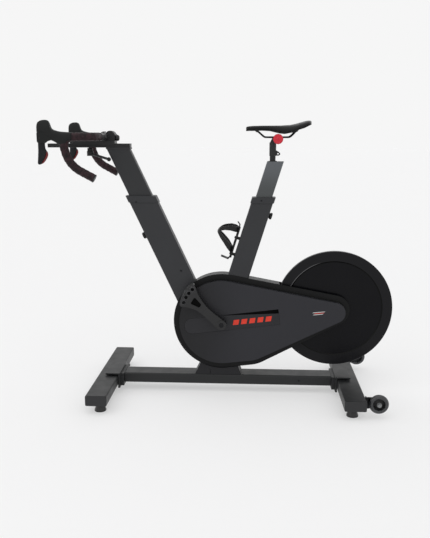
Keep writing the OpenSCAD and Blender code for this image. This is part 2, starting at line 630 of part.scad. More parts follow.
// plan half-widths along the saddle
sx = [89, 91, 96, 104, 120, 145, 170, 195, 215, 235, 255, 275, 295, 310, 322, 329, 332];
sw = [6, 13, 18, 20, 20.5, 21.5, 24, 30, 38, 49, 60, 67.5, saddle_w/2, saddle_w/2 - 1, 64, 50, 30];
module plan(d) polygon(concat([for (i = [0 : 16]) [sx[i], sw[i] - d]], [for (i = [16 : -1 : 0]) [sx[i], -sw[i] + d]]));
// side profile of the seam between pad and shell, and of the pad's top
pad_top = [[88, 1040], [92, 1044], [104, 1046.5], [125, 1049], [150, 1050], [216, 1050], [254, 1051], [276, 1054.5], [292, 1060.4], [310, 1066.4], [325, 1068.8], [334, 1067.4]];
pad_bot = [[334, 1057], [318, 1054], [300, 1047], [280, 1041], [255, 1038.5], [216, 1038], [150, 1038.5], [110, 1038], [88, 1036]];
shell_bot = [[88, 1031], [110, 1029.5], [150, 1030], [180, 1028], [200, 1023], [217, 1019], [236, 1016.8], [262, 1022], [284, 1032], [303, 1037], [318, 1046], [334, 1052]];
module saddle_pad() color(black) intersection() {
  translate([0, 0, 1000]) linear_extrude(90) plan(0);
  xz(-90, 90) polygon(concat(pad_top, pad_bot));
}
module saddle_shell() color(dark) difference() {
  intersection() {
    translate([0, 0, 1000]) linear_extrude(90) plan(1.5);
    xz(-90, 90) polygon(concat(shell_bot, [for (i = [0 : 8]) pad_bot[i]]));
  }
  translate([140, -34, 1000]) cube([150, 68, 34]);
  translate([283, -34, 1000]) cube([30, 68, 38]);
  // sockets for the rail ends
  for (s = [-1, 1]) {
    rod(rail_p(s)[0] + [-0.3, 0, 0.2], rail_p(s)[1], rail_r + 0.1);
    rod(rail_p(s)[4], rail_p(s)[5] + [0.2, 0, 0.3], rail_r + 0.1);
    translate(rail_p(s)[4]) sphere(r = rail_r + 0.15, $fn = 24);
  }
}
function rail_p(s) = [[126, s*12, 1033.5], [146, s*18, 1017], [162, s*22, 1005.5], [252, s*22, 1005.5], [268, s*22, 1019], [281, s*24, 1036]];
module saddle_rails() color(metal) for (s = [-1, 1]) {
  for (i = [0 : 4]) rod(rail_p(s)[i], rail_p(s)[i + 1], rail_r);
  for (i = [1 : 4]) translate(rail_p(s)[i]) sphere(r = rail_r + 0.03, $fn = 24);
}

// ---------- lock knobs ----------
module lock_knob() {
  rotate_extrude() polygon([[0, -6], [4, -6], [4, 0.3], [9, 0.3], [10, 3], [13, 4], [13, 11], [11, 13], [0, 13]]);
}
module front_lock_knob() color(black) front_frame() translate([-50, 0, 57]) rotate([0, -90, 0]) lock_knob();
module seat_lock_knob() color(black) seat_frame() translate([40, 0, 126]) rotate([0, 90, 0]) lock_knob();

base_spine();
front_stabilizer();
rear_stabilizer();
stabilizer_brackets();
bracket_pads();
stabilizer_end_caps();
wheel_axles();
pedestal();
side_plate_left();
side_plate_right();
frame_shell();
bearings();
left_cover();
right_cover();
badge_strips();
frame_screws();
front_post_outer();
front_post_collar();
seat_post_outer();
seat_post_collar();
bottle_cage();
resistance_unit();
power_inlet();
drive_belt();
wheel_brackets();
foot_front_left();
foot_front_right();
foot_rear_left();
foot_rear_right();
crank_axle();
crank_arm_left();
crank_arm_right();
crank_bolts();
drive_pulley();
flywheel();
flywheel_shaft();
flywheel_pulley();
front_post_inner();
handlebar_rail();
bar_carriage();
stem_clamp();
handlebar();
bar_tape();
brake_hoods();
brake_lever_left();
brake_lever_right();
shift_paddle_left();
shift_paddle_right();
rail_lever();
seat_post_inner();
saddle_head();
saddle_clamp();
saddle_knob();
saddle_shell();
saddle_pad();
saddle_rails();
front_lock_knob();
seat_lock_knob();
wheel_left();
wheel_right();
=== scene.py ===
import bpy
import bmesh
import math
import numpy as np
from mathutils import Matrix, Vector


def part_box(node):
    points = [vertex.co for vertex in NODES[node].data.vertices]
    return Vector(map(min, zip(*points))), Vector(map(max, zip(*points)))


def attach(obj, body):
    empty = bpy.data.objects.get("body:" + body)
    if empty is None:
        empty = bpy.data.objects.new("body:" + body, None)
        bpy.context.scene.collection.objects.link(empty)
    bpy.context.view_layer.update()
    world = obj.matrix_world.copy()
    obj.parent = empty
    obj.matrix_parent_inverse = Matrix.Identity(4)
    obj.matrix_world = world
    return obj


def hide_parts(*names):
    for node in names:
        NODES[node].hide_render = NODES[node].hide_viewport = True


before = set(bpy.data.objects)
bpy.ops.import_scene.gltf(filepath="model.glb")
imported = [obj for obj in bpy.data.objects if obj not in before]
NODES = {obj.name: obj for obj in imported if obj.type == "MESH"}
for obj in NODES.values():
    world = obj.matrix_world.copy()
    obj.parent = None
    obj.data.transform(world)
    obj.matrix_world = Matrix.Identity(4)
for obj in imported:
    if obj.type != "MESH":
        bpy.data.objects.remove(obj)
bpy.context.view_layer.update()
scene = bpy.context.scene
MM = 0.001

# ------------------------------------------------------------------ camera
PITCH, YAW = 0.194199, 0.055394
fwd = Vector((-math.sin(YAW) * math.cos(PITCH), math.cos(YAW) * math.cos(PITCH), -math.sin(PITCH)))
right = Vector((math.cos(YAW), math.sin(YAW), 0.0))
up = right.cross(fwd)
cam_data = bpy.data.cameras.new("camera")
cam_data.sensor_fit = "AUTO"
cam_data.sensor_width = 36.0
cam_data.lens = 670.117 / 538 * 36.0
cam = bpy.data.objects.new("camera", cam_data)
scene.collection.objects.link(cam)
m = Matrix((right, up, -fwd)).transposed().to_4x4()
m.translation = Vector((0.1151, -2.58958, 1.00565))
cam.matrix_world = m
scene.camera = cam
scene.view_settings.view_transform = "Standard"


# ------------------------------------------------------------------ materials
class Mat:
    """A node material made of a principled shader and a few procedural layers."""

    def __init__(self, name, color, rough, metallic=0.0, spec=0.5, coat=0.0, coat_rough=0.1, sheen=0.0, trans=0.0, ior=1.5, aniso=0.0):
        self.m = bpy.data.materials.new(name)
        self.m.use_nodes = True
        self.nt = self.m.node_tree
        self.nt.nodes.clear()
        out = self.nt.nodes.new("ShaderNodeOutputMaterial")
        self.b = self.nt.nodes.new("ShaderNodeBsdfPrincipled")
        self.nt.links.new(self.b.outputs[0], out.inputs[0])
        i = self.b.inputs
        i["Base Color"].default_value = (*color, 1)
        i["Roughness"].default_value = rough
        i["Metallic"].default_value = metallic
        i["Specular IOR Level"].default_value = spec
        i["Coat Weight"].default_value = coat
        i["Coat Roughness"].default_value = coat_rough
        i["Sheen Weight"].default_value = sheen
        i["Transmission Weight"].default_value = trans
        i["IOR"].default_value = ior
        i["Anisotropic"].default_value = aniso
        self.color, self.rough = color, rough
        self.coord = None
        self.normal = None
        self.col = None

    def n(self, kind, **values):
        node = self.nt.nodes.new(kind)
        for k, v in values.items():
            if hasattr(node, k):
                setattr(node, k, v)
            else:
                node.inputs[k.replace("_", " ")].default_value = v
        return node

    def link(self, a, b):
        self.nt.links.new(a, b)

    def place(self, scale=(1, 1, 1), rot=(0, 0, 0), loc=(0, 0, 0)):
        tc = self.n("ShaderNodeTexCoord")
        mp = self.n("ShaderNodeMapping")
        mp.inputs["Scale"].default_value = scale
        mp.inputs["Rotation"].default_value = rot
        mp.inputs["Location"].default_value = loc
        self.link(tc.outputs["Object"], mp.inputs["Vector"])
        return mp.outputs["Vector"]

    def noise(self, scale, detail=3, vec=None, rough=0.5, dist=0.0):
        t = self.n("ShaderNodeTexNoise", Scale=scale, Detail=detail, Roughness=rough, Distortion=dist)
        self.link(vec if vec is not None else self.place(), t.inputs["Vector"])
        return t.outputs["Fac"]

    def voronoi(self, scale, vec=None, feature="F1"):
        t = self.n("ShaderNodeTexVoronoi")
        t.feature = feature
        t.inputs["Scale"].default_value = scale
        self.link(vec if vec is not None else self.place(), t.inputs["Vector"])
        return t.outputs["Distance"]

    def span(self, fac, lo, hi, a, b, smooth=False):
        r = self.n("ShaderNodeMapRange")
        r.interpolation_type = "SMOOTHSTEP" if smooth else "LINEAR"
        for k, v in (("From Min", lo), ("From Max", hi), ("To Min", a), ("To Max", b)):
            r.inputs[k].default_value = v
        self.link(fac, r.inputs["Value"])
        return r.outputs["Result"]

    def ramp(self, fac, stops):
        r = self.n("ShaderNodeValToRGB")
        e = r.color_ramp.elements
        while len(e) > 1:
            e.remove(e[-1])
        e[0].position, e[0].color = stops[0][0], (*stops[0][1], 1)
        for p, c in stops[1:]:
            x = e.new(p)
            x.color = (*c, 1)
        self.link(fac, r.inputs["Fac"])
        return r.outputs["Color"]

    def math(self, op, a, b=None):
        t = self.n("ShaderNodeMath")
        t.operation = op
        for k, v in enumerate((a, b)):
            if v is None:
                continue
            if isinstance(v, (int, float)):
                t.inputs[k].default_value = v
            else:
                self.link(v, t.inputs[k])
        return t.outputs[0]

    def mix(self, fac, a, b):
        t = self.n("ShaderNodeMix")
        t.data_type = "RGBA"
        ins = [s for s in t.inputs if s.enabled]
        for s, v in zip(ins, (fac, a, b)):
            if isinstance(v, (int, float)):
                s.default_value = v
            elif isinstance(v, tuple):
                s.default_value = (*v, 1)
            else:
                self.link(v, s)
        return [s for s in t.outputs if s.enabled][0]

    def vary(self, fac, amount, tint=(1, 1, 1)):
        """Colour variation: darker to lighter about the base colour."""
        c = self.color
        lo = tuple(x * (1 - amount) for x in c)
        hi = tuple(min(1, x * (1 + amount) * t) for x, t in zip(c, tint))
        self.col = self.ramp(fac, [(0.3, lo), (0.7, hi)])
        self.link(self.col, self.b.inputs["Base Color"])
        return self

    def overlay(self, fac, color):
        base = self.col if self.col is not None else self.color
        self.col = self.mix(fac, base, color)
        self.link(self.col, self.b.inputs["Base Color"])
        return self

    def roughly(self, fac, amount):
        r = self.span(fac, 0.25, 0.75, max(0.02, self.rough - amount), min(1, self.rough + amount))
        self.link(r, self.b.inputs["Roughness"])
        return self

    def bump(self, fac, distance, strength=1.0):
        t = self.n("ShaderNodeBump", Strength=strength, Distance=distance)
        self.link(fac, t.inputs["Height"])
        if self.normal is not None:
            self.link(self.normal, t.inputs["Normal"])
        self.normal = t.outputs["Normal"]
        self.link(self.normal, self.b.inputs["Normal"])
        return self

    def edge_wear_and_highlight(self, color, lo=0.54, hi=0.62, grain=90):
        """Lighter convex edges, broken up by noise: partly edge wear, partly a painted highlight on lit bevels."""
        g = self.n("ShaderNodeNewGeometry")
        e = self.span(g.outputs["Pointiness"], lo, hi, 0, 1, True)
        k = self.span(self.noise(grain, 4), 0.42, 0.62, 0, 1)
        self.overlay(self.math("MULTIPLY", e, k), color)
        return self


def powder(name, color, rough=0.42, coat=0.0, tex=0.00005, spec=0.45):
    """Powder-coated steel: fine orange peel, faint mottling and uneven gloss."""
    t = Mat(name, color, rough, 0.0, spec, coat=coat, coat_rough=0.3)
    t.vary(t.noise(9, 4), 0.05)
    t.overlay(t.span(t.noise(1500, 2), 0.55, 0.75, 0, 0.22), tuple(min(1, x * 1.7 + 0.01) for x in color))
    t.roughly(t.noise(26, 4), 0.06)
    t.bump(t.noise(950, 3), tex, 0.6)
    t.bump(t.noise(60, 2), 0.0001, 0.12)
    return t


def plastic(name, color, rough=0.4, tex=0.00006, grain=1400, spec=0.5):
    """Moulded plastic: fine spark-eroded grain and faint flow marks."""
    t = Mat(name, color, rough, 0.0, spec)
    t.vary(t.noise(14, 3), 0.06)
    t.roughly(t.noise(45, 3), 0.06)
    t.bump(t.voronoi(grain), tex, 0.5)
    t.bump(t.noise(300, 3), 0.00003, 0.3)
    return t


def steel(name, color, rough=0.25, brushed=None, aniso=0.0):
    """Bare or plated metal with faint machining lines and smudges."""
    t = Mat(name, color, rough, 1.0, 0.5, aniso=aniso)
    t.vary(t.noise(70, 4), 0.08)
    t.roughly(t.noise(120, 4), 0.08)
    if brushed:
        t.bump(t.noise(1, 3, vec=t.place(scale=brushed)), 0.00003, 0.35)
    return t


M = {}
M["paint"] = powder("paint_frame", (0.014, 0.0148, 0.0155), 0.42, spec=0.30).m
M["paint_post"] = powder("paint_post", (0.0268, 0.0276, 0.0302), 0.42, spec=0.26).m
M["paint_inner"] = powder("paint_inner_post", (0.022, 0.0228, 0.0245), 0.42, spec=0.28).m
t = powder("paint_seat_inner", (0.062, 0.067, 0.069), 0.38, spec=0.30)
sep = t.n("ShaderNodeSeparateXYZ")
t.link(t.place(), sep.inputs[0])
# painted highlight: the post gets lighter towards its top
t.overlay(t.span(sep.outputs[2], 0.80, 0.91, 0, 1, True), (0.098, 0.106, 0.115))
t.overlay(t.span(sep.outputs[2], 0.9152, 0.9156, 0, 1), (0.011, 0.0113, 0.012))
M["paint_seat_inner"] = t.m
M["paint_pedestal"] = powder("paint_pedestal", (0.0155, 0.0155, 0.0172), 0.46, spec=0.16).m
M["paint_cap"] = powder("paint_end_cap", (0.024, 0.0245, 0.026), 0.42, spec=0.28).m
M["paint_dark"] = powder("paint_plate_edge", (0.0045, 0.0047, 0.005), 0.46, spec=0.16).m
M["paint_shell"] = powder("paint_shell", (0.012, 0.0127, 0.0134), 0.42, spec=0.30).m


def along(t, axis, lo, hi):
    """Smooth 0..1 ramp along one axis of the part's own space."""
    sep = t.n("ShaderNodeSeparateXYZ")
    t.link(t.place(), sep.inputs[0])
    return t.span(sep.outputs[axis], lo, hi, 0, 1, True)


t = plastic("plastic_cover", (0.0125, 0.0126, 0.0140), 0.46, 0.00005, 1600, 0.22)
# painted light: the cover gets lighter towards +X, its rear end
t.overlay(along(t, 0, -0.15, 0.12), (0.0228, 0.0229, 0.0275))
M["cover"] = t.m
M["strip"] = plastic("plastic_strip", (0.0205, 0.0205, 0.0232), 0.40, 0.00003, 1800, 0.20).m
M["black_plastic"] = plastic("plastic_black", (0.0045, 0.0045, 0.0048), 0.38, spec=0.30).m
M["rubber"] = plastic("rubber_black", (0.005, 0.005, 0.005), 0.7, 0.00008, 900, 0.2).m
M["chrome"] = steel("metal_black_chrome", (0.085, 0.087, 0.09), 0.14, brushed=(50, 50, 3000)).m
M["steel"] = steel("metal_zinc", (0.22, 0.225, 0.23), 0.28, brushed=(60, 2500, 60)).m
M["black_steel"] = steel("metal_blackened", (0.022, 0.0225, 0.024), 0.34).m
M["alloy"] = powder("alloy_satin", (0.012, 0.0124, 0.0128), 0.34, tex=0.00003, spec=0.32).m
M["rail_alloy"] = powder("alloy_rail", (0.010, 0.0104, 0.0108), 0.36, tex=0.00003, spec=0.28).m
M["bar"] = powder("bar_black", (0.016, 0.0164, 0.0172), 0.34, tex=0.00003, spec=0.34).m
M["foot"] = powder("foot_gloss_black", (0.0040, 0.0040, 0.0043), 0.20, coat=0.35, tex=0.00002, spec=0.35).m

t = Mat("flywheel_black", (0.0034, 0.0034, 0.0045), 0.25, 0.0, 0.12)
t.vary(t.noise(12, 3), 0.08)
sep = t.n("ShaderNodeSeparateXYZ")
t.link(t.place(loc=(-0.4395, 0, -0.343)), sep.inputs[0])
rad = t.math("SQRT", t.math("ADD", t.math("MULTIPLY", sep.outputs[0], sep.outputs[0]), t.math("MULTIPLY", sep.outputs[2], sep.outputs[2])))
t.overlay(t.span(rad, 0.1885, 0.1905, 0, 1), (0.0088, 0.0088, 0.0100))
# painted highlight: a light arc on the upper-left edge of the rim groove, where the light catches it
lean = t.math("MULTIPLY", t.math("ADD", sep.outputs[2], t.math("MULTIPLY", sep.outputs[0], -1.0)), 0.7071)
edge = t.math("MULTIPLY", t.span(rad, 0.1895, 0.1902, 0, 1), t.span(rad, 0.1922, 0.1928, 1, 0))
t.overlay(t.math("MULTIPLY", edge, t.span(lean, 0.165, 0.186, 0, 0.85, True)), (0.13, 0.13, 0.135))
# painted shade: a near-black ring down in the rim groove
t.overlay(t.math("MULTIPLY", t.span(rad, 0.1850, 0.1858, 0, 1), t.span(rad, 0.1900, 0.1908, 1, 0)), (0.0008, 0.0008, 0.0008))
t.roughly(t.noise(35, 3), 0.05)
t.bump(t.noise(800, 3), 0.00004, 0.5)
M["flywheel"] = t.m

# crank: satin black with painted glints, bright spots toward the fan's edge
t = Mat("crank_satin", (0.0115, 0.0115, 0.0122), 0.32, 0.0, 0.36)
t.vary(t.noise(30, 3), 0.1)
pos = t.place(loc=(0, 0, -0.288))
sep = t.n("ShaderNodeSeparateXYZ")
t.link(pos, sep.inputs[0])
rad = t.math("SQRT", t.math("ADD", t.math("MULTIPLY", sep.outputs[0], sep.outputs[0]), t.math("MULTIPLY", sep.outputs[2], sep.outputs[2])))
edge = t.span(rad, 0.155, 0.190, 0, 1, True)
spots = t.span(t.noise(210, 5, rough=0.65), 0.50, 0.60, 0, 1)
t.overlay(t.math("MULTIPLY", t.math("MULTIPLY", edge, spots), 0.55), (0.075, 0.075, 0.08))
t.roughly(t.noise(60, 4), 0.07)
t.bump(t.noise(600, 3), 0.00005, 0.5)
M["crank"] = t.m

# knob red
t = Mat("knob_red", (0.55, 0.015, 0.033), 0.30, 0.0, 0.36)
t.vary(t.noise(40, 3), 0.06)
sep = t.n("ShaderNodeSeparateXYZ")
t.link(t.place(loc=(-0.209, 0, -0.999)), sep.inputs[0])
rad = t.math("SQRT", t.math("ADD", t.math("MULTIPLY", sep.outputs[0], sep.outputs[0]), t.math("MULTIPLY", sep.outputs[2], sep.outputs[2])))
t.overlay(t.span(rad, 0.0013, 0.0018, 1, 0), (0.16, 0.010, 0.016))
# painted shade: darker towards the knob's outer rim
t.overlay(t.span(rad, 0.0155, 0.0190, 0, 0.8, True), (0.30, 0.008, 0.018))
t.roughly(t.noise(90, 3), 0.06)
t.bump(t.voronoi(1500), 0.00003, 0.4)
M["knob_red"] = t.m
t = Mat("mark_red", (0.62, 0.045, 0.026), 0.45, 0.0, 0.2)
t.vary(t.noise(60, 3), 0.05)
t.roughly(t.noise(200, 3), 0.06)
t.bump(t.noise(1500, 2), 0.00002, 0.5)
M["mark_red"] = t.m
t = Mat("mark_white", (0.55, 0.55, 0.55), 0.42, 0.0, 0.4)
t.vary(t.noise(60, 3), 0.05)
t.bump(t.noise(1500, 2), 0.00002, 0.5)
M["mark_white"] = t.m
t = Mat("lever_red", (0.150, 0.020, 0.021), 0.42, 0.0, 0.25)
t.vary(t.noise(60, 3), 0.12)
t.bump(t.voronoi(1300), 0.00003, 0.5)
M["lever_red"] = t.m

# bar tape: marbled dark wine polyurethane with fine perforation
t = Mat("tape_wine", (0.030, 0.008, 0.010), 0.52, 0.0, 0.22)
n1 = t.noise(75, 5, rough=0.6, dist=0.6)
t.col = t.ramp(n1, [(0.30, (0.003, 0.0026, 0.0028)), (0.46, (0.012, 0.0045, 0.006)), (0.60, (0.030, 0.0115, 0.015)), (0.78, (0.009, 0.007, 0.008))])
t.link(t.col, t.b.inputs["Base Color"])
t.roughly(t.noise(160, 4), 0.1)
t.bump(t.voronoi(420), 0.00018, 0.6)
t.bump(t.noise(900, 3), 0.00005, 0.5)
M["tape"] = t.m

# hood rubber
t = Mat("hood_rubber", (0.0045, 0.0052, 0.0052), 0.5, 0.0, 0.24)
t.vary(t.noise(25, 3), 0.12)
t.roughly(t.noise(70, 4), 0.07)
t.bump(t.voronoi(520), 0.00014, 0.45)
t.bump(t.noise(1200, 3), 0.00004, 0.5)
M["hood"] = t.m

# saddle cover: smooth microfibre leather, fine grain
t = Mat("saddle_leather", (0.0024, 0.0025, 0.0026), 0.31, 0.0, 0.19)
t.vary(t.noise(22, 4), 0.15)
t.roughly(t.noise(60, 4), 0.08)
t.bump(t.voronoi(850, feature="SMOOTH_F1"), 0.00016, 0.5)
t.bump(t.noise(420, 4, rough=0.6), 0.00010, 0.4)
M["saddle"] = t.m
t = Mat("saddle_panel", (0.030, 0.0305, 0.031), 0.50, 0.0, 0.45)
t.vary(t.noise(22, 4), 0.12)
t.roughly(t.noise(60, 4), 0.06)
t.bump(t.voronoi(900), 0.00010, 0.5)
M["saddle_panel"] = t.m
t = Mat("saddle_shell", (0.0042, 0.0043, 0.0045), 0.40, 0.0, 0.24)
t.vary(t.noise(16, 3), 0.1)
t.roughly(t.noise(50, 3), 0.06)
t.bump(t.voronoi(1100), 0.00006, 0.5)
M["shell"] = t.m
t = Mat("thread_grey", (0.10, 0.10, 0.10), 0.7, 0.0, 0.3, sheen=0.3)
t.vary(t.noise(500, 3), 0.2)
t.bump(t.noise(2500, 2, vec=t.place(scale=(1, 1, 1))), 0.00006, 0.8)
M["thread"] = t.m

# polyurethane tyre: clear, a little smoky, with moulding ripples
t = Mat("wheel_smoke", (0.042, 0.044, 0.048), 0.10, 0.0, 0.6, trans=0.40, ior=1.48)
t.vary(t.noise(40, 3), 0.04)
t.roughly(t.noise(80, 3), 0.04)
t.bump(t.noise(160, 3), 0.00006, 0.3)
M["wheel_clear"] = t.m

# painted shade: flat near-black for sheets laid into slots and pockets where shade falls
t = Mat("slot_painted_shade", (0.0012, 0.0012, 0.0012), 0.8, 0.0, 0.08)
t.vary(t.noise(80, 3), 0.1)
t.bump(t.noise(900, 3), 0.00005, 0.5)
M["void"] = t.m
t = Mat("belt_rubber", (0.012, 0.012, 0.012), 0.6)
t.vary(t.noise(80, 3), 0.1)
t.bump(t.noise(900, 3), 0.0001, 0.5)
M["belt"] = t.m


# ------------------------------------------------------------------ mesh helpers
def obj_from(name, verts, faces, mat=None, smooth=True):
    me = bpy.data.meshes.new(name)
    me.from_pydata([tuple(v) for v in verts], [], [tuple(f) for f in faces])
    me.update()
    o = bpy.data.objects.new(name, me)
    scene.collection.objects.link(o)
    if smooth:
        me.polygons.foreach_set("use_smooth", [True] * len(me.polygons))
    if mat is not None:
        me.materials.append(mat)
    bm = bmesh.new()
    bm.from_mesh(me)
    bmesh.ops.recalc_face_normals(bm, faces=bm.faces)
    bm.to_mesh(me)
    bm.free()
    return o


def tube_rings(rings, cap=True):
    """Faces that join closed rings of equal count; capped with fans."""
    n = len(rings[0])
    verts = [p for r in rings for p in r]
    faces = []
    for k in range(len(rings) - 1):
        for j in range(n):
            a, b = k * n + j, k * n + (j + 1) % n
            faces.append((a, b, b + n, a + n))
    if cap:
        for k, flip in ((0, True), (len(rings) - 1, False)):
            c = tuple(sum(rings[k][j][i] for j in range(n)) / n for i in range(3))
            verts.append(c)
            ci = len(verts) - 1
            for j in range(n):
                a, b = k * n + j, k * n + (j + 1) % n
                faces.append((b, a, ci) if flip else (a, b, ci))
    return verts, faces


def apply_mods(o):
    dg = bpy.context.evaluated_depsgraph_get()
    me = bpy.data.meshes.new_from_object(o.evaluated_get(dg), depsgraph=dg)
    o.modifiers.clear()
    old = o.data
    o.data = me
    if old.users == 0:
        bpy.data.meshes.remove(old)
    return o


def lathe(name, prof, origin, axis, mat, n=64, bevel=0.0):
    """Closed profile [(r, h)] in metres turned round an axis from origin; (0, h) points make poles."""
    axis = Vector(axis).normalized()
    q = axis.to_track_quat("Z", "Y")
    verts, faces, rows = [], [], []
    for r, h in prof:
        if r < 1e-7:
            verts.append(Vector((0, 0, h)))
            rows.append([len(verts) - 1] * n)
        else:
            row = []
            for j in range(n):
                a = 2 * math.pi * j / n
                verts.append(Vector((r * math.cos(a), r * math.sin(a), h)))
                row.append(len(verts) - 1)
            rows.append(row)
    closed = prof[0][0] > 1e-7 and prof[-1][0] > 1e-7
    cnt = len(rows)
    for k in range(cnt if closed else cnt - 1):
        a, b = rows[k], rows[(k + 1) % cnt]
        for j in range(n):
            f = [a[j], a[(j + 1) % n], b[(j + 1) % n], b[j]]
            g = []
            for v in f:
                if v not in g:
                    g.append(v)
            if len(g) >= 3:
                faces.append(g)
    verts = [q @ v + Vector(origin) for v in verts]
    o = obj_from(name, verts, faces, mat)
    if bevel:
        bevel_mod(o, bevel, 30)
        apply_mods(o)
    return o


def bevel_mod(o, width, angle=30, segments=2):
    b = o.modifiers.new("bevel", "BEVEL")
    b.width = width
    b.segments = segments
    b.limit_method = "ANGLE"
    b.angle_limit = math.radians(angle)
    b.use_clamp_overlap = True
    b.harden_normals = False
    return b


def cad_finish(node, mat, bevel=0.0006, angle=35, segments=2, planar=True):
    """Material and softened edges for a CAD node; its own mesh stays as packed."""
    o = NODES[node]
    o.data.materials.clear()
    o.data.materials.append(mat)
    o.data.polygons.foreach_set("material_index", [0] * len(o.data.polygons))
    o.data.polygons.foreach_set("use_smooth", [True] * len(o.data.polygons))
    w = o.modifiers.new("weld", "WELD")
    w.merge_threshold = 0.000008
    if planar:
        d = o.modifiers.new("planar", "DECIMATE")
        d.decimate_type = "DISSOLVE"
        d.angle_limit = math.radians(0.4)
    if bevel:
        bevel_mod(o, bevel, angle, segments)
    wn = o.modifiers.new("normals", "WEIGHTED_NORMAL")
    wn.mode = "FACE_AREA_WITH_ANGLE"
    wn.weight = 50
    wn.keep_sharp = False
    return o


def frames_along(pts):
    """Tangents and steady side vectors along a polyline of Vectors."""
    n = len(pts)
    tang = [(pts[min(i + 1, n - 1)] - pts[max(i - 1, 0)]).normalized() for i in range(n)]
    s = tang[0].orthogonal().normalized()
    out = []
    for i in range(n):
        s = (s - tang[i] * s.dot(tang[i])).normalized()
        out.append((tang[i], s, tang[i].cross(s)))
    return out


def sweep(name, pts, radius, mat, n=24, cap=True):
    """Round tube along points; radius is a number or a function of (length, angle)."""
    fr = frames_along(pts)
    s = 0.0
    rings = []
    for i, p in enumerate(pts):
        if i:
            s += (pts[i] - pts[i - 1]).length
        ring = []
        for j in range(n):
            a = 2 * math.pi * j / n
            r = radius(s, a) if callable(radius) else radius
            ring.append(p + fr[i][1] * math.cos(a) * r + fr[i][2] * math.sin(a) * r)
        rings.append(ring)
    v, f = tube_rings(rings, cap)
    return obj_from(name, v, f, mat)


def smooth_path(pts, step, rounds=3):
    """Chaikin-rounded polyline, resampled at even steps."""
    pts = [Vector(p) for p in pts]
    for _ in range(rounds):
        q = [pts[0]]
        for a, b in zip(pts, pts[1:]):
            q += [a.lerp(b, 0.25), a.lerp(b, 0.75)]
        q.append(pts[-1])
        pts = q
    return resample(pts, step)


def resample(pts, step):
    d = [0.0]
    for a, b in zip(pts, pts[1:]):
        d.append(d[-1] + (b - a).length)
    n = max(2, int(round(d[-1] / step)))
    out = []
    k = 0
    for i in range(n + 1):
        s = d[-1] * i / n
        while k < len(d) - 2 and d[k + 1] < s:
            k += 1
        t = 0 if d[k + 1] == d[k] else (s - d[k]) / (d[k + 1] - d[k])
        out.append(pts[k].lerp(pts[k + 1], min(1, max(0, t))))
    return out


def join(objs, name):
    bpy.ops.object.select_all(action="DESELECT")
    for o in objs:
        o.select_set(True)
    bpy.context.view_layer.objects.active = objs[0]
    bpy.ops.object.join()
    objs[0].name = name
    objs[0].data.name = name
    return objs[0]


def prism_xz(name, pts, y0, y1, mat, bevel=0.0, segments=3, angle=30):
    """Prism over an X-Z outline (metres) between two Y values, with rounded edges."""
    n = len(pts)
    v = [Vector((p[0], y0, p[1])) for p in pts] + [Vector((p[0], y1, p[1])) for p in pts]
    f = [list(range(n)), list(range(2 * n - 1, n - 1, -1))]
    f += [[i, (i + 1) % n, n + (i + 1) % n, n + i] for i in range(n)]
    o = obj_from(name, v, f, mat)
    if bevel:
        bevel_mod(o, bevel, angle, segments)
        wn = o.modifiers.new("n", "WEIGHTED_NORMAL")
        wn.keep_sharp = False
        apply_mods(o)
    return o


def mirror_y(o, name):
    c = o.copy()
    c.data = o.data.copy()
    c.name = name
    c.data.name = name
    scene.collection.objects.link(c)
    c.data.transform(Matrix.Diagonal((1, -1, 1, 1)))
    c.data.flip_normals()
    return c


def interp(x, xs, ys):
    return float(np.interp(x, xs, ys))


# ------------------------------------------------------------------ CAD nodes kept, with finishes
for node, mat, bev in [
    ("base_spine", "paint", 0.0008), ("front_stabilizer", "paint", 0.0008), ("rear_stabilizer", "paint", 0.0008),
    ("stabilizer_brackets", "paint", 0.0022), ("bracket_pads", "rubber", 0.0008), ("stabilizer_end_caps", "paint_cap", 0.0008),
    ("wheel_axles", "steel", 0.0006), ("pedestal", "paint_pedestal", 0.0010), ("side_plate_left", "paint_dark", 0.0008),
    ("side_plate_right", "paint_dark", 0.0008), ("frame_shell", "paint_shell", 0.0005), ("bearings", "steel", 0.0004),
    ("left_cover", "cover", 0.0045), ("right_cover", "cover", 0.0045), ("badge_strips", "strip", 0.0003),
    ("frame_screws", "black_steel", 0.0005), ("front_post_outer", "paint_post", 0.0006), ("front_post_collar", "paint_post", 0.0010),
    ("seat_post_outer", "paint_post", 0.0006), ("seat_post_collar", "paint_post", 0.0010), ("resistance_unit", "black_plastic", 0.0012),
    ("power_inlet", "black_plastic", 0.0003), ("bottle_cage", "black_plastic", 0.0007), ("drive_belt", "belt", 0.0004), ("wheel_brackets", "black_steel", 0.0008),
    ("foot_front_left", "foot", 0.0010), ("foot_front_right", "foot", 0.0010), ("foot_rear_left", "foot", 0.0010),
    ("foot_rear_right", "foot", 0.0010), ("crank_axle", "steel", 0.0005), ("crank_arm_left", "crank", 0.0016),
    ("crank_arm_right", "crank", 0.0016), ("crank_bolts", "black_steel", 0.0006), ("drive_pulley", "black_plastic", 0.0006),
    ("flywheel", "flywheel", 0.0010), ("flywheel_shaft", "steel", 0.0004), ("flywheel_pulley", "black_steel", 0.0004),
    ("front_post_inner", "paint_inner", 0.0006), ("handlebar_rail", "rail_alloy", 0.0008), ("bar_carriage", "alloy", 0.0012),
    ("stem_clamp", "alloy", 0.0010), ("handlebar", "bar", 0.0004), ("rail_lever", "black_plastic", 0.0006),
    ("seat_post_inner", "paint_seat_inner", 0.0006), ("saddle_head", "alloy", 0.0012), ("saddle_clamp", "black_steel", 0.0010),
    ("front_lock_knob", "black_plastic", 0.0010), ("seat_lock_knob", "black_plastic", 0.0010),
]:
    seg = 4 if "cover" in node else 2
    cad_finish(node, M[mat], bev, 35, seg)


# ------------------------------------------------------------------ red marks in place of lettering
BB_Z = 288.0
SA = math.atan2(343.0 - BB_Z, 439.5)


def sp(u, v):
    return (u * math.cos(SA) - v * math.sin(SA), BB_Z + u * math.sin(SA) + v * math.cos(SA))


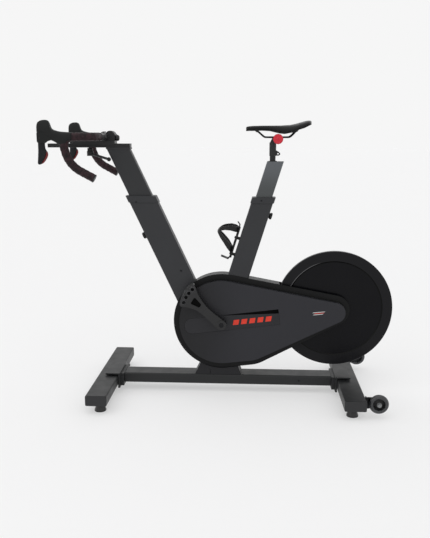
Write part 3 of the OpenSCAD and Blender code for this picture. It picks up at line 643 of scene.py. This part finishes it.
marks = []
for side in (-1, 1):
    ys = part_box("badge_strips")[0 if side < 0 else 1][1]
    bars = [(46, 22), (78, 22), (110, 22), (142, 22), (174, 22)]
    for k, (u0, w) in enumerate(bars):
        sl = 5.0
        poly = [sp(u0, -15), sp(u0 + w, -15), sp(u0 + w + sl, -5), sp(u0 + sl, -5)] if False else None
        poly = [sp(u0 - 3, -13), sp(u0 + w - 3, -13), sp(u0 + w + 3, 7), sp(u0 + 3, 7)]
        y0, y1 = (ys - 0.0003, ys + 0.0002) if side < 0 else (ys - 0.0002, ys + 0.0003)
        marks.append(prism_xz("mark", [(x * MM, z * MM) for x, z in poly], y0, y1, M["mark_red"], 0.0001, 1))
for side in (-1, 1):
    # plain two-tone mark at the cover's rear end, in place of a printed badge
    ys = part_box("left_cover")[0][1] if side < 0 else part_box("right_cover")[1][1]
    yy = (ys - 0.0003, ys + 0.0002) if side < 0 else (ys - 0.0002, ys + 0.0003)
    cx, cz, ca, sa_ = 379.0, 333.0, math.cos(math.radians(6)), math.sin(math.radians(6))
    for (u0, u1, v0, v1, w0, mt) in ((-25, 25, 3.2, 5.6, 4, "mark_white"), (-20, 22, -0.8, 1.4, 3, "mark_red"), (-24, 18, -5.4, -3.0, 4, "mark_white")):
        q = [(u0, v0), (u1 - w0, v0), (u1, v1), (u0 + w0, v1)]
        marks.append(prism_xz("mark", [((cx + u * ca - v * sa_) * MM, (cz + u * sa_ + v * ca) * MM) for u, v in q], yy[0], yy[1], M[mt], 0.0001, 1))
mark = join(marks, "cover_marks")
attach(mark, "frame")
# painted shade: near-black sheets inside the covers' top slots, in place of the shade in the recess
shade_sheets = []
for side in (-1, 1):
    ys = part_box("left_cover")[0][1] if side < 0 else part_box("right_cover")[1][1]
    d = 0.0026 * -side
    y0, y1 = sorted((ys + d - 0.0002, ys + d + 0.0004))
    q = [sp(4.4, 30.4), sp(227.1, 14.3), sp(227.1, 30.6), sp(4.4, 30.7)]
    shade_sheets.append(prism_xz("shade_sheet", [(x * MM, z * MM) for x, z in q], y0, y1, M["void"], 0))
shade_sheet = join(shade_sheets, "cover_slot_painted_shade")
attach(shade_sheet, "frame")


# ------------------------------------------------------------------ drop bar tape
HX, HZ, BZ, BY = -521.0, 975.0, 1007.0, 210.0
C15, S15 = math.cos(math.radians(15)), math.sin(math.radians(15))
P0 = (HX - 32 * C15, HZ - 32 * S15)
P1 = (P0[0] + 15.5 * S15, P0[1] - 15.5 * C15)
DC = (P1[0] + 105 * C15, P1[1] + 105 * S15)
P2 = (DC[0] + 105 * math.cos(math.radians(242)), DC[1] + 105 * math.sin(math.radians(242)))
C28, S28 = math.cos(math.radians(28)), math.sin(math.radians(28))
P3 = (P2[0] + 52 * C28, P2[1] - 52 * S28)


def top_path():
    pts = [Vector((-449, 118, BZ)), Vector((-449, 165, BZ))]
    for i in range(1, 19):
        a = math.radians(90 * i / 18)
        pts.append(Vector((-494 + 45 * math.cos(a), 165 + 45 * math.sin(a), BZ)))
    pts.append(Vector((-522.5, 210, BZ)))
    return resample([p * MM for p in pts], 0.001)


def hook_path():
    pts = []
    for i in range(19):
        a = math.radians(91 + 104 * i / 18)
        pts.append(Vector((HX + 32 * math.cos(a), BY, HZ + 32 * math.sin(a))))
    pts.append(Vector((P1[0], BY, P1[1])))
    for i in range(1, 17):
        a = math.radians(195 + 47 * i / 16)
        pts.append(Vector((DC[0] + 105 * math.cos(a), BY, DC[1] + 105 * math.sin(a))))
    pts.append(Vector((P3[0], BY, P3[1])))
    return resample([p * MM for p in pts], 0.001)


def wrap(pitch, sign, lo=13.9, hi=15.3):
    """Radius of a wound tape: each turn lies on the last with a soft, thick edge."""
    def r(s, a):
        k = (s / (pitch * MM) + sign * a / (2 * math.pi)) % 1.0
        if k < 0.86:
            f = 0.25 + 0.75 * (k / 0.86) ** 1.4
        else:
            f = 1.0 - (k - 0.86) / 0.14 * 0.75
        bulge = 0.12 * math.sin(math.pi * min(1, k / 0.86))
        return (lo + (hi - lo) * min(1, f) + bulge) * MM
    return r


tapes = []
for path, sgn in ((top_path(), 1), (hook_path(), -1)):
    o = sweep("tape", path, wrap(19, sgn), M["tape"], 48)
    tapes += [o, mirror_y(o, "tape_m")]
tape = join(tapes, "bar_tape_wrap")
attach(tape, "carriage")
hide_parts("bar_tape")

# finishing bands at the tape's inner ends, and end plugs
bands, plugs = [], []
for s in (-1, 1):
    bands.append(lathe("band", [(12.05 * MM, -1.5 * MM), (14.9 * MM, -1.5 * MM), (15.35 * MM, -0.8 * MM), (15.4 * MM, 9 * MM), (14.9 * MM, 9.8 * MM), (12.05 * MM, 9.8 * MM)],
                       (-449 * MM, s * 113.5 * MM, BZ * MM), (0, s, 0), M["rubber"], 48, 0.0002))
    plugs.append(lathe("plug", [(0, 1.0 * MM), (15.1 * MM, 1.0 * MM), (15.45 * MM, 1.6 * MM), (15.45 * MM, 2.8 * MM), (14.4 * MM, 4.0 * MM), (11.2 * MM, 4.5 * MM), (10.8 * MM, 4.0 * MM), (6 * MM, 4.1 * MM), (0, 4.2 * MM)],
                       (P3[0] * MM, s * BY * MM, P3[1] * MM), (C28, 0, -S28), M["black_plastic"], 48))
band = join(bands, "tape_bands")
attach(band, "carriage")
plug = join(plugs, "bar_end_plugs")
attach(plug, "carriage")


# ------------------------------------------------------------------ hoods, levers, paddles
def super_ring(cx, cz, hw, hh, y0, n, e, along="x", waist=None):
    """Rounded ring in the Y-Z plane at x=cx (along x) or in the X-Y plane at z=cz (along z)."""
    ring = []
    for j in range(n):
        a = 2 * math.pi * j / n
        c, s = math.cos(a), math.sin(a)
        u = math.copysign(abs(c) ** (2 / e), c)
        v = math.copysign(abs(s) ** (2 / e), s)
        if along == "x":
            y, z = hw * u, cz + hh * v
            if waist:
                y *= waist(z)
            ring.append(Vector((cx, y0 + y, z)) * MM)
        else:
            ring.append(Vector((cx + hh * u, y0 + hw * v, cz)) * MM)
    return ring


HOOD = [(-646.3, 1023, 1045, 6), (-646.1, 1018, 1049.5, 10), (-645.5, 1015.4, 1053, 12.6), (-643.8, 1014.2, 1056.6, 14.2), (-640.8, 1013.5, 1059.8, 15), (-637, 1013, 1062.4, 15.5),
        (-632, 1012.4, 1064.4, 15.8), (-626, 1010.6, 1065.6, 16.1), (-618, 1005, 1066.1, 16.3), (-612, 1000.8, 1065.7, 16.5), (-607, 998.8, 1064, 16.6), (-604, 997.6, 1061.4, 16.7),
        (-601.6, 996.8, 1057.5, 16.7), (-600, 996, 1050.5, 16.8), (-598.2, 995.2, 1041, 16.9), (-594, 993.6, 1035.2, 16.9), (-588, 991, 1031.6, 17), (-580, 986.5, 1029, 17), (-572, 981, 1027, 17),
        (-565, 977.2, 1025.6, 17), (-558, 974.6, 1024.8, 17), (-551, 974.4, 1024.3, 17), (-545.5, 979, 1023.9, 17), (-540, 986.4, 1023.6, 16.9), (-534, 991, 1023.3, 16.8), (-528, 993, 1023.1, 16.7),
        (-523.5, 993.6, 1022.9, 16.5), (-521.9, 994.6, 1021.8, 15.6), (-521.4, 998, 1018, 12)]


def dense(rows, step):
    xs = [r[0] for r in rows]
    total = abs(xs[-1] - xs[0])
    n = int(total / step)
    t = [abs(x - xs[0]) for x in xs]
    out = []
    grid = sorted(set([round(total * i / n, 3) for i in range(n + 1)] + [round(v, 3) for v in t[:4] + t[-4:]]))
    for g in grid:
        out.append([interp(g, t, [r[c] for r in rows]) for c in range(len(rows[0]))])
    return out


def smooth_rows(rows, cols, rounds=1):
    rows = [list(r) for r in rows]
    for _ in range(rounds):
        new = [list(r) for r in rows]
        for i in range(2, len(rows) - 2):
            for c in cols:
                new[i][c] = (rows[i - 1][c] + 2 * rows[i][c] + rows[i + 1][c]) / 4
        rows = new
    return rows


def waist(z):
    # the horn is slimmer than the body, and a grip line runs along the side
    t = min(1, max(0, (z - 1030) / 34))
    return 1 - 0.20 * t * t * (3 - 2 * t)


rings = []
for x, b, tp, w in smooth_rows(dense(HOOD, 2.0), (1, 2, 3), 2):
    rings.append(super_ring(x, (b + tp) / 2, w, (tp - b) / 2, BY, 48, 2.7, "x", waist))
v, f = tube_rings(rings)
hood = obj_from("hood", v, f, M["hood"])
# raised edge along the hood's rear lip and a shallow groove where rubber meets the body
me = hood.data
for vert in me.vertices:
    x, y, z = vert.co.x / MM, vert.co.y / MM - BY, vert.co.z / MM
    k = math.exp(-((x + 527.5) / 1.6) ** 2) * 0.45
    g = math.exp(-((z - (1003.5 + (x + 560) * -0.10)) / 1.5) ** 2) * min(1, max(0, (-(x) - 572) / 12)) * min(1, max(0, (640 + x) / 8)) * 0.8
    r = math.hypot(y, 0.0001)
    vert.co.y += math.copysign(min(abs(y), 1) * (k - g), y) * MM
hoods = [hood, mirror_y(hood, "hood_m")]
cheek = [(-645.4, 1022), (-645.5, 1000), (-645.3, 991), (-642, 985.5), (-635, 983), (-625, 983.6), (-620.4, 986.6), (-617.5, 989.4), (-613, 992), (-602, 994.9), (-596, 995.6), (-592, 1002), (-600, 1012),
         (-612, 1019), (-626, 1023)]
for t0, t1 in ((-16.2, -9.6), (9.6, 16.2)):
    o = prism_xz("cheek", [(x * MM, z * MM) for x, z in cheek], (BY + t0) * MM, (BY + t1) * MM, M["hood"], 0.0024, 4)
    hoods += [o, mirror_y(o, "cheek_m")]
hood_all = join(hoods, "lever_hoods")
s1 = hood_all.modifiers.new("sub", "SUBSURF")
s1.levels = s1.render_levels = 0
hood_all.modifiers.clear()
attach(hood_all, "carriage")
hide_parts("brake_hoods")

LEVER = [(1010.4, -637.5, -633, 4), (1009.6, -641, -630.2, 6.6), (1007, -643.4, -628.2, 8), (1002, -644.4, -626, 8.5), (994, -644.6, -623, 8.5), (988, -644.8, -621, 8.5), (978, -645, -621.4, 8.5),
         (966, -645.2, -620.2, 8.5), (959.5, -645.3, -616.2, 8.5), (957.4, -645.4, -616, 8.4), (954.6, -645.6, -618.8, 8.4), (946, -646.2, -621.4, 8.4), (938.8, -646.7, -623.8, 8.3),
         (930, -647.4, -628.6, 8.2), (922.5, -648.1, -633.3, 8), (916.5, -648.9, -636.2, 7.5), (912.5, -648.2, -638, 6.6), (909.8, -645.6, -640.6, 4.5)]
PADX = [(956.1, -616.2, -613.8, 1.5), (955.2, -616.6, -612.9, 3), (953, -617, -611.9, 4.1), (948, -618.7, -611.1, 4.5), (943.6, -619.8, -610.9, 4.5), (938, -621.7, -612.6, 4.5), (932.8, -624.8, -614.9, 4.5),
        (926, -628.8, -619.4, 4.5), (921.5, -631.3, -622.6, 4.5), (918, -633.1, -625.4, 4.2), (914.6, -634.9, -630.2, 3.3), (912.3, -635.9, -634, 1.8)]


def blade(name, rows, mats, e, steps, red=None):
    rings = []
    for z, xf, xb, w in smooth_rows(dense(rows, steps), (1, 2, 3), 1):
        rings.append(super_ring((xf + xb) / 2, z, w, (xb - xf) / 2, BY, 32, e, "z"))
    v, f = tube_rings(rings)
    o = obj_from(name, v, f, mats[0])
    if len(mats) > 1:
        o.data.materials.append(mats[1])
        for p in o.data.polygons:
            z, x = p.center.z / MM, p.center.x / MM
            xb = interp(-z, [-r[0] for r in rows], [r[2] for r in rows])
            if x > xb - red:
                p.material_index = 1
    return o


for side, s in (("left", -1), ("right", 1)):
    a = blade("brake_blade_" + side, LEVER, [M["black_steel"]], 3.4, 2.0)
    pins = [lathe("pin", [(0, 0), (3.4 * MM, 0), (3.4 * MM, 0.5 * MM), (2.8 * MM, 0.95 * MM), (0, 1.05 * MM)], (-634 * MM, (BY + q * 15.8) * MM, 1002 * MM), (0, q, 0), M["black_plastic"], 32) for q in (-1, 1)]
    # thin side wings that run past the paddle's front edge
    wing = [(-616.4, 957.2), (-617.6, 951), (-619.4, 945), (-621.6, 939), (-626.2, 930.5), (-631.2, 922), (-634.4, 915.8), (-637.4, 911.2), (-641, 911), (-641, 925), (-636, 940), (-630, 957.5)]
    wings = [prism_xz("wing", [(x * MM, z * MM) for x, z in wing], *sorted(((BY + q * 7.5) * MM, (BY + q * 8.4) * MM)), M["black_steel"], 0.0003, 2) for q in (-1, 1)]
    a = join([a] + pins + wings, "brake_blade_" + side)
    b = blade("paddle_blade_" + side, PADX, [M["black_plastic"], M["lever_red"]], 2.8, 1.2, 7.4)
    if s < 0:
        for o in (a, b):
            o.data.transform(Matrix.Diagonal((1, -1, 1, 1)))
            o.data.flip_normals()
    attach(a, "lever_" + side)
    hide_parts("brake_lever_" + side)
    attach(b, "paddle_" + side)
    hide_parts("shift_paddle_" + side)

# ------------------------------------------------------------------ saddle
SX = [88.6, 89.4, 91.5, 96, 105, 120, 145, 170, 195, 215, 235, 255, 275, 295, 310, 320, 327, 331, 333.4]
SW = [8, 12.5, 16.5, 19, 20.2, 20.8, 21.6, 24, 30, 38, 49, 60, 67.5, 71.3, 70.3, 65, 54, 40, 22]
TX = [88, 92, 104, 125, 150, 216, 254, 276, 292, 310, 325, 334]
TZ = [1044.4, 1046.4, 1048, 1049.4, 1050.2, 1050.3, 1051.8, 1056, 1060.8, 1066.2, 1068.6, 1067]
EX = [88, 110, 150, 180, 200, 217, 236, 262, 284, 303, 318, 334]
EZ = [1031.6, 1031, 1032, 1030.4, 1025.6, 1021.8, 1019.8, 1025, 1034.6, 1040.2, 1047.6, 1055]


def sad(x):
    return interp(x, SX, SW), interp(x, TX, TZ), interp(x, EX, EZ), interp(x, [88, 160, 230, 290, 334], [3.4, 3.0, 2.5, 3.0, 3.2])


def sad_top(x, t):
    w, zt, ze, p = sad(x)
    return ze + (zt - ze) * max(0.0, 1 - abs(t) ** p) ** 0.46


def sad_under(x, t):
    w, zt, ze, p = sad(x)
    h = max(0.0, zt - ze - 10.5)
    end = min(1, max(0, (x - 96) / 26)) * min(1, max(0, (326 - x) / 26))
    return ze + h * (1 - t * t) * end


def saddle_solid(name, shrink, mat):
    xs = [x for x in np.concatenate([[88.6, 89.4, 90.6, 92.4, 95], np.arange(98, 326, 4.0), [327, 329.4, 331.4, 332.8, 333.6]])]
    nt = 29
    verts, faces = [], []
    for x in xs:
        w = sad(x)[0] - shrink
        for layer in (0, 1):
            for j in range(nt):
                t = math.sin(math.pi / 2 * (-1 + 2 * j / (nt - 1)))
                z = sad_top(x, t) - shrink if layer == 0 else sad_under(x, t)
                if layer == 0:
                    z = max(z, sad_under(x, t))
                verts.append((x * MM, t * w * MM, z * MM))
    row = 2 * nt
    for i in range(len(xs) - 1):
        a, b = i * row, (i + 1) * row
        for j in range(nt - 1):
            faces.append((a + j, a + j + 1, b + j + 1, b + j))
            faces.append((a + nt + j + 1, a + nt + j, b + nt + j, b + nt + j + 1))
        faces.append((a, b, b + nt, a + nt))
        faces.append((a + nt - 1, a + row - 1, b + row - 1, b + nt - 1))
    for i in (0, len(xs) - 1):
        a = i * row
        for j in range(nt - 1):
            q = (a + j, a + nt + j, a + nt + j + 1, a + j + 1)
            faces.append(q if i == 0 else q[::-1])
    o = obj_from(name, verts, faces, mat)
    bm = bmesh.new()
    bm.from_mesh(o.data)
    bmesh.ops.remove_doubles(bm, verts=bm.verts, dist=0.00002)
    bmesh.ops.dissolve_degenerate(bm, edges=bm.edges, dist=0.00001)
    bmesh.ops.recalc_face_normals(bm, faces=bm.faces)
    bm.to_mesh(o.data)
    bm.free()
    return o


def remesh(o, voxel):
    r = o.modifiers.new("remesh", "REMESH")
    r.mode = "VOXEL"
    r.voxel_size = voxel
    r.use_smooth_shade = True
    apply_mods(o)
    return o


def inflate(o, pressure, cap, pinned, frames=20):
    """Cloth simulation under pressure; each point moves at most cap metres."""
    start = np.array([v.co for v in o.data.vertices], float)
    g = o.vertex_groups.new(name="pin")
    for i, p in enumerate(start):
        w = pinned(p)
        if w > 0:
            g.add([i], w, "REPLACE")
    c = o.modifiers.new("cloth", "CLOTH")
    s = c.settings
    s.quality = 6
    s.mass = 0.15
    s.tension_stiffness = s.compression_stiffness = 25
    s.shear_stiffness = 15
    s.bending_stiffness = 4
    s.use_pressure = True
    s.uniform_pressure_force = pressure
    s.vertex_group_mass = "pin"
    s.effector_weights.gravity = 0
    c.collision_settings.use_collision = False
    c.point_cache.frame_start, c.point_cache.frame_end = 1, frames
    for k in range(1, frames + 1):
        scene.frame_set(k)
    dg = bpy.context.evaluated_depsgraph_get()
    ev = o.evaluated_get(dg)
    end = np.array([v.co for v in ev.data.vertices], float)
    o.modifiers.remove(c)
    scene.frame_set(1)
    d = end - start
    n = np.linalg.norm(d, axis=1)
    k = np.where(n > cap, cap / np.maximum(n, 1e-9), 1.0)
    new = start + d * k[:, None]
    o.data.vertices.foreach_set("co", new.ravel())
    o.data.update()
    o.vertex_groups.clear()
    return o


def fair(o, factor, rounds, keep=None):
    """Evens out voxel steps."""
    bm = bmesh.new()
    bm.from_mesh(o.data)
    vs = [v for v in bm.verts if keep is None or not keep(v.co)]
    for _ in range(rounds):
        bmesh.ops.smooth_vert(bm, verts=vs, factor=factor, use_axis_x=True, use_axis_y=True, use_axis_z=True)
    bm.to_mesh(o.data)
    bm.free()


pad = saddle_solid("saddle_cushion", 1.2, M["saddle"])
remesh(pad, 0.003)
fair(pad, 0.5, 4)
inflate(pad, 4.0, 0.0022, lambda p: 1.0 if p[2] / MM < sad_under(p[0] / MM, min(1, abs(p[1] / MM) / sad(p[0] / MM)[0])) + 2.2 else 0.0)
sub = pad.modifiers.new("sub", "SUBSURF")
sub.levels = sub.render_levels = 1
apply_mods(pad)
co = np.array([v.co for v in pad.data.vertices], float)
for i, p in enumerate(co):
    x, y, z = p / MM
    w, zt, ze, pw = sad(min(max(x, 88.6), 333.4))
    t = min(1.0, abs(y) / w)
    if z > ze + (zt - ze) * 0.35:
        # relief channel along the middle, wider to the rear
        win = min(1, max(0, (x - 118) / 30)) * min(1, max(0, (326 - x) / 22))
        cw = interp(x, [118, 200, 300], [4.5, 6.0, 9.0])
        p[2] -= 3.6 * MM * math.exp(-(y / cw) ** 4) * win
        # sewn lines beside the channel
        sw = interp(x, [118, 200, 300], [10.5, 14.0, 27.0])
        p[2] -= 0.55 * MM * math.exp(-((abs(y) - sw) / 0.9) ** 2) * win
    # cover edge seam low on the side
    seam = ze + min(5.5, (zt - ze) * 0.34)
    if t > 0.6:
        k = math.exp(-((z - seam) / 0.9) ** 2) * 0.7 * MM
        p[1] -= math.copysign(k, y)
    co[i] = p
pad.data.vertices.foreach_set("co", co.ravel())
pad.data.update()
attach(pad, "saddle")
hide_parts("saddle_pad")


def shell_piece():
    xs = list(np.concatenate([[89.2, 91, 94], np.arange(98, 327, 3.0), [329, 331.5, 333]]))
    nt = 31
    top, bot = [], []
    for x in xs:
        w = sad(x)[0]
        for j in range(nt):
            t = math.sin(math.pi / 2 * (-1 + 2 * j / (nt - 1)))
            zu = sad_under(x, t)
            lip = 1.0 if abs(t) > 0.985 else 0.0
            top.append((x * MM, t * (w - 0.2) * MM, (zu + 0.6 + lip * 1.2) * MM))
            rib = 0.9 * (1 if abs(abs(t) - 0.45) < 0.06 else 0)
            bot.append((x * MM, t * (w - 0.5) * MM, (zu - 2.2 - rib) * MM))
    verts = top + bot
    n = len(top)
    faces = []
    for i in range(len(xs) - 1):
        for j in range(nt - 1):
            a, b = i * nt + j, (i + 1) * nt + j
            faces.append((a, b, b + 1, a + 1))
            faces.append((n + a, n + a + 1, n + b + 1, n + b))
        for j in (0, nt - 1):
            a, b = i * nt + j, (i + 1) * nt + j
            faces.append((a, n + a, n + b, b) if j == 0 else (b, n + b, n + a, a))
    for i in (0, len(xs) - 1):
        for j in range(nt - 1):
            a = i * nt + j
            faces.append((a, a + 1, n + a + 1, n + a) if i == 0 else (a + 1, a, n + a, n + a + 1))
    o = obj_from("saddle_base_shell", verts, faces, M["shell"])
    bevel_mod(o, 0.0006, 40, 2)
    apply_mods(o)
    return o


shell = shell_piece()
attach(shell, "saddle")
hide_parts("saddle_shell")

rails = []
for s in (-1, 1):
    pts = [(124, 11.4, 1036.5), (126, 12, 1033.5), (146, 18, 1017), (158, 21.6, 1006.4), (165, 22, 1005.5), (174, 22, 1005.5), (206, 22, 1005.5), (238, 22, 1005.5), (248, 22, 1005.5), (255, 22, 1007.2), (268, 22.4, 1019), (281, 24, 1036), (283, 24.2, 1039)]
    path = smooth_path([(x * MM, s * y * MM, z * MM) for x, y, z in pts], 0.0015, 5)
    rails.append(sweep("rail", path, 3.5 * MM, M["black_steel"], 20))
    # moulded sockets
    rails.append(lathe("socket", [(0, -7 * MM), (5.2 * MM, -7 * MM), (6.2 * MM, -2 * MM), (6.2 * MM, 4 * MM), (0, 4 * MM)], (129 * MM, s * 12.8 * MM, 1031.5 * MM), (-0.72, -0.2 * s, 0.66), M["shell"], 24, 0.0006))
    rails.append(lathe("socket", [(0, -8 * MM), (5.2 * MM, -8 * MM), (6.4 * MM, -2 * MM), (6.4 * MM, 5 * MM), (0, 5 * MM)], (279 * MM, s * 23.7 * MM, 1033.4 * MM), (0.60, 0.08 * s, 0.80), M["shell"], 24, 0.0006))
rail_all = join(rails, "saddle_rail_rods")
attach(rail_all, "saddle")
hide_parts("saddle_rails")

# ------------------------------------------------------------------ red clamp knob
def lobed(name, prof, origin, axis, mat, n, lobes, depth, from_r):
    o = lathe(name, prof, origin, axis, mat, n)
    axis = Vector(axis).normalized()
    org = Vector(origin)
    u = axis.orthogonal().normalized()
    w = axis.cross(u)
    for v in o.data.vertices:
        d = v.co - org
        h = d.dot(axis)
        r = d - axis * h
        if r.length > from_r:
            a = math.atan2(r.dot(w), r.dot(u))
            k = (0.5 + 0.5 * math.cos(lobes * a)) ** 3
            f = (r.length - from_r) / max(1e-6, prof_max - from_r)
            v.co -= r.normalized() * depth * k * min(1, max(0, f) * 2.5)
    o.data.update()
    return o


prof_max = 0.019
kp = [(0, 0), (8.6, 0), (9.0, 0.5), (9.2, 5.2), (12, 6.4), (17.2, 6.9), (18.6, 8.0), (19.0, 9.6), (19.0, 16.6), (18.5, 18.3), (17.2, 19.4), (15.2, 19.9), (12.6, 19.6), (11.8, 18.9), (7.0, 18.7), (6.4, 19.3), (5.6, 19.9), (2.2, 20.0), (1.8, 19.4), (0, 19.35)]
knob = lobed("clamp_knob_red", [(r * MM, h * MM) for r, h in kp], (209 * MM, -29.5 * MM, 999 * MM), (0, -1, 0), M["knob_red"], 144, 12, 0.0005, 0.0135)
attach(knob, "clamp_knob")
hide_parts("saddle_knob")

# ------------------------------------------------------------------ transport wheels
for side, s in (("left", -1), ("right", 1)):
    org = (582 * MM, s * 270 * MM, 55 * MM)
    ax = (0, s, 0)
    tyre_prof = [(22.2, -10.2)]
    for i in range(17):
        a = math.radians(-80 + 160 * i / 16)
        tyre_prof.append((25.0 + 10.9 * math.cos(a), 10.9 * math.sin(a)))
    tyre_prof += [(22.2, 10.2), (22.2, 7), (20.6, 5), (20.6, -5), (22.2, -7)]
    tyre = lathe("wheel_tyre_" + side, [(r * MM, h * MM) for r, h in tyre_prof], org, ax, M["wheel_clear"], 96)
    hub_prof = [(4.1, -9.6), (6.2, -9.6), (6.8, -9.0), (10, -9.0), (10.6, -8), (11.2, -6.4), (19.6, -5.6), (20.55, -4.8), (20.55, 4.8), (19.6, 5.6), (11.2, 6.4), (10.6, 8), (10, 9.0), (6.8, 9.0), (6.2, 9.6), (4.1, 9.6)]
    hub = lathe("wheel_hub_" + side, [(r * MM, h * MM) for r, h in hub_prof], org, ax, M["black_plastic"], 64)
    ring = [lathe("b", [(r * MM, q * h * MM) for r, h in [(4.2, 9.3), (4.2, 9.9), (8.8, 9.9), (9.2, 9.6), (9.2, 8.9)]], org, ax, M["steel"], 48) for q in (-1, 1)]
    ribs = []
    for i in range(5):
        a = math.radians(72 * i + 20)
        for q in (-1, 1):
            c = Vector((org[0] + 15.5 * MM * math.cos(a), org[1] + q * 6.2 * MM, org[2] + 15.5 * MM * math.sin(a)))
            ribs.append(lathe("r", [(0, -0.8 * MM), (2.6 * MM, -0.8 * MM), (2.6 * MM, 0.3 * MM), (2.2 * MM, 0.7 * MM), (0, 0.7 * MM)], c, (0, q, 0), M["black_steel"], 20))
    hub = join([hub] + ring + ribs, "wheel_hub_" + side)
    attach(tyre, "transport_wheel_" + side)
    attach(hub, "transport_wheel_" + side)
    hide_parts("wheel_" + side)

# ------------------------------------------------------------------ crank thread inserts
HR = [180, 177.5, 175, 170]
HA = [128.4, 134.9, 141.2, 148.6]
ins = []
for s, rot in ((-1, 0), (1, 180)):
    for r0, a0 in zip(HR, HA):
        # the right arm is the left one turned half a turn about the axle
        a = math.radians(a0)
        x, z = r0 * math.cos(a), r0 * math.sin(a)
        if rot:
            x, z = -x, -z
        ins.append(lathe("ins", [(7.2 * MM, -13.8 * MM), (8.3 * MM, -13.8 * MM), (8.3 * MM, -0.2 * MM), (8.15 * MM, 0.12 * MM), (7.5 * MM, 0.12 * MM), (7.2 * MM, -0.3 * MM)],
                         (x * MM, s * 78 * MM, (BB_Z + z) * MM), (0, s, 0), M["chrome"], 40))
# painted shade: near-black sheets in the crank arms' pockets, in place of the shade in the recess
POCKET = [(-100.6, 107.4), (-105.6, 106.4), (-117.4, 88), (-116.5, 83.5), (-88, 70.6), (-82.4, 72.5), (-78.6, 80), (-80.6, 84.8)]
shade_sheets = []
for s, k in ((-1, 1), (1, -1)):
    y0, y1 = sorted((s * 72.6 * MM, s * 73.25 * MM))
    shade_sheets.append(prism_xz("shade_sheet", [(k * x * MM, (BB_Z + k * z) * MM) for x, z in POCKET], y0, y1, M["void"], 0.0001, 1))
shade_sheet = join(shade_sheets, "crank_pocket_painted_shade")
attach(shade_sheet, "crank")
insert = join(ins, "crank_thread_inserts")
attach(insert, "crank")

# ------------------------------------------------------------------ floor, world, lights
def stage_floor():
    t = Mat("studio_floor", (0.46, 0.46, 0.462), 0.95, 0.0, 0.05)
    t.b.inputs["Emission Color"].default_value = (1, 1, 1, 1)
    t.b.inputs["Emission Strength"].default_value = 0.428
    t.vary(t.noise(0.8, 2), 0.003)
    r = 60.0
    n = 96
    v = [(0, 0, 0)] + [(r * math.cos(2 * math.pi * i / n), r * math.sin(2 * math.pi * i / n), 0) for i in range(n)]
    f = [(0, 1 + i, 1 + (i + 1) % n) for i in range(n)]
    o = obj_from("studio_floor", v, f, t.m, smooth=False)
    if o.data.polygons[0].normal.z < 0:
        o.data.flip_normals()
    return o


stage_floor()
world = bpy.data.worlds.new("studio")
scene.world = world
world.use_nodes = True
bg = world.node_tree.nodes["Background"]
bg.inputs["Color"].default_value = (1, 1, 1, 1)
bg.inputs["Strength"].default_value = 0.922


def area(name, loc, target, size, power, size_y=None):
    d = bpy.data.lights.new(name, "AREA")
    d.shape = "RECTANGLE"
    d.size = size
    d.size_y = size_y or size
    d.energy = power
    o = bpy.data.objects.new(name, d)
    scene.collection.objects.link(o)
    o.location = loc
    o.rotation_mode = "QUATERNION"
    o.rotation_quaternion = (Vector(target) - Vector(loc)).to_track_quat("-Z", "Y")
    return o


def sun(name, direction, strength, angle):
    d = bpy.data.lights.new(name, "SUN")
    d.energy = strength
    d.angle = math.radians(angle)
    o = bpy.data.objects.new(name, d)
    scene.collection.objects.link(o)
    o.rotation_mode = "QUATERNION"
    o.rotation_quaternion = Vector(direction).to_track_quat("-Z", "Y")
    return o


sun("sky_soft", (0.15, 0.35, -1.0), 0.42, 70)
area("front_strip", (-1.9, -2.2, 1.7), (0.1, 0, 0.5), 0.7, 3, 1.8)

# ------------------------------------------------------------------ final update
bpy.context.view_layer.update()
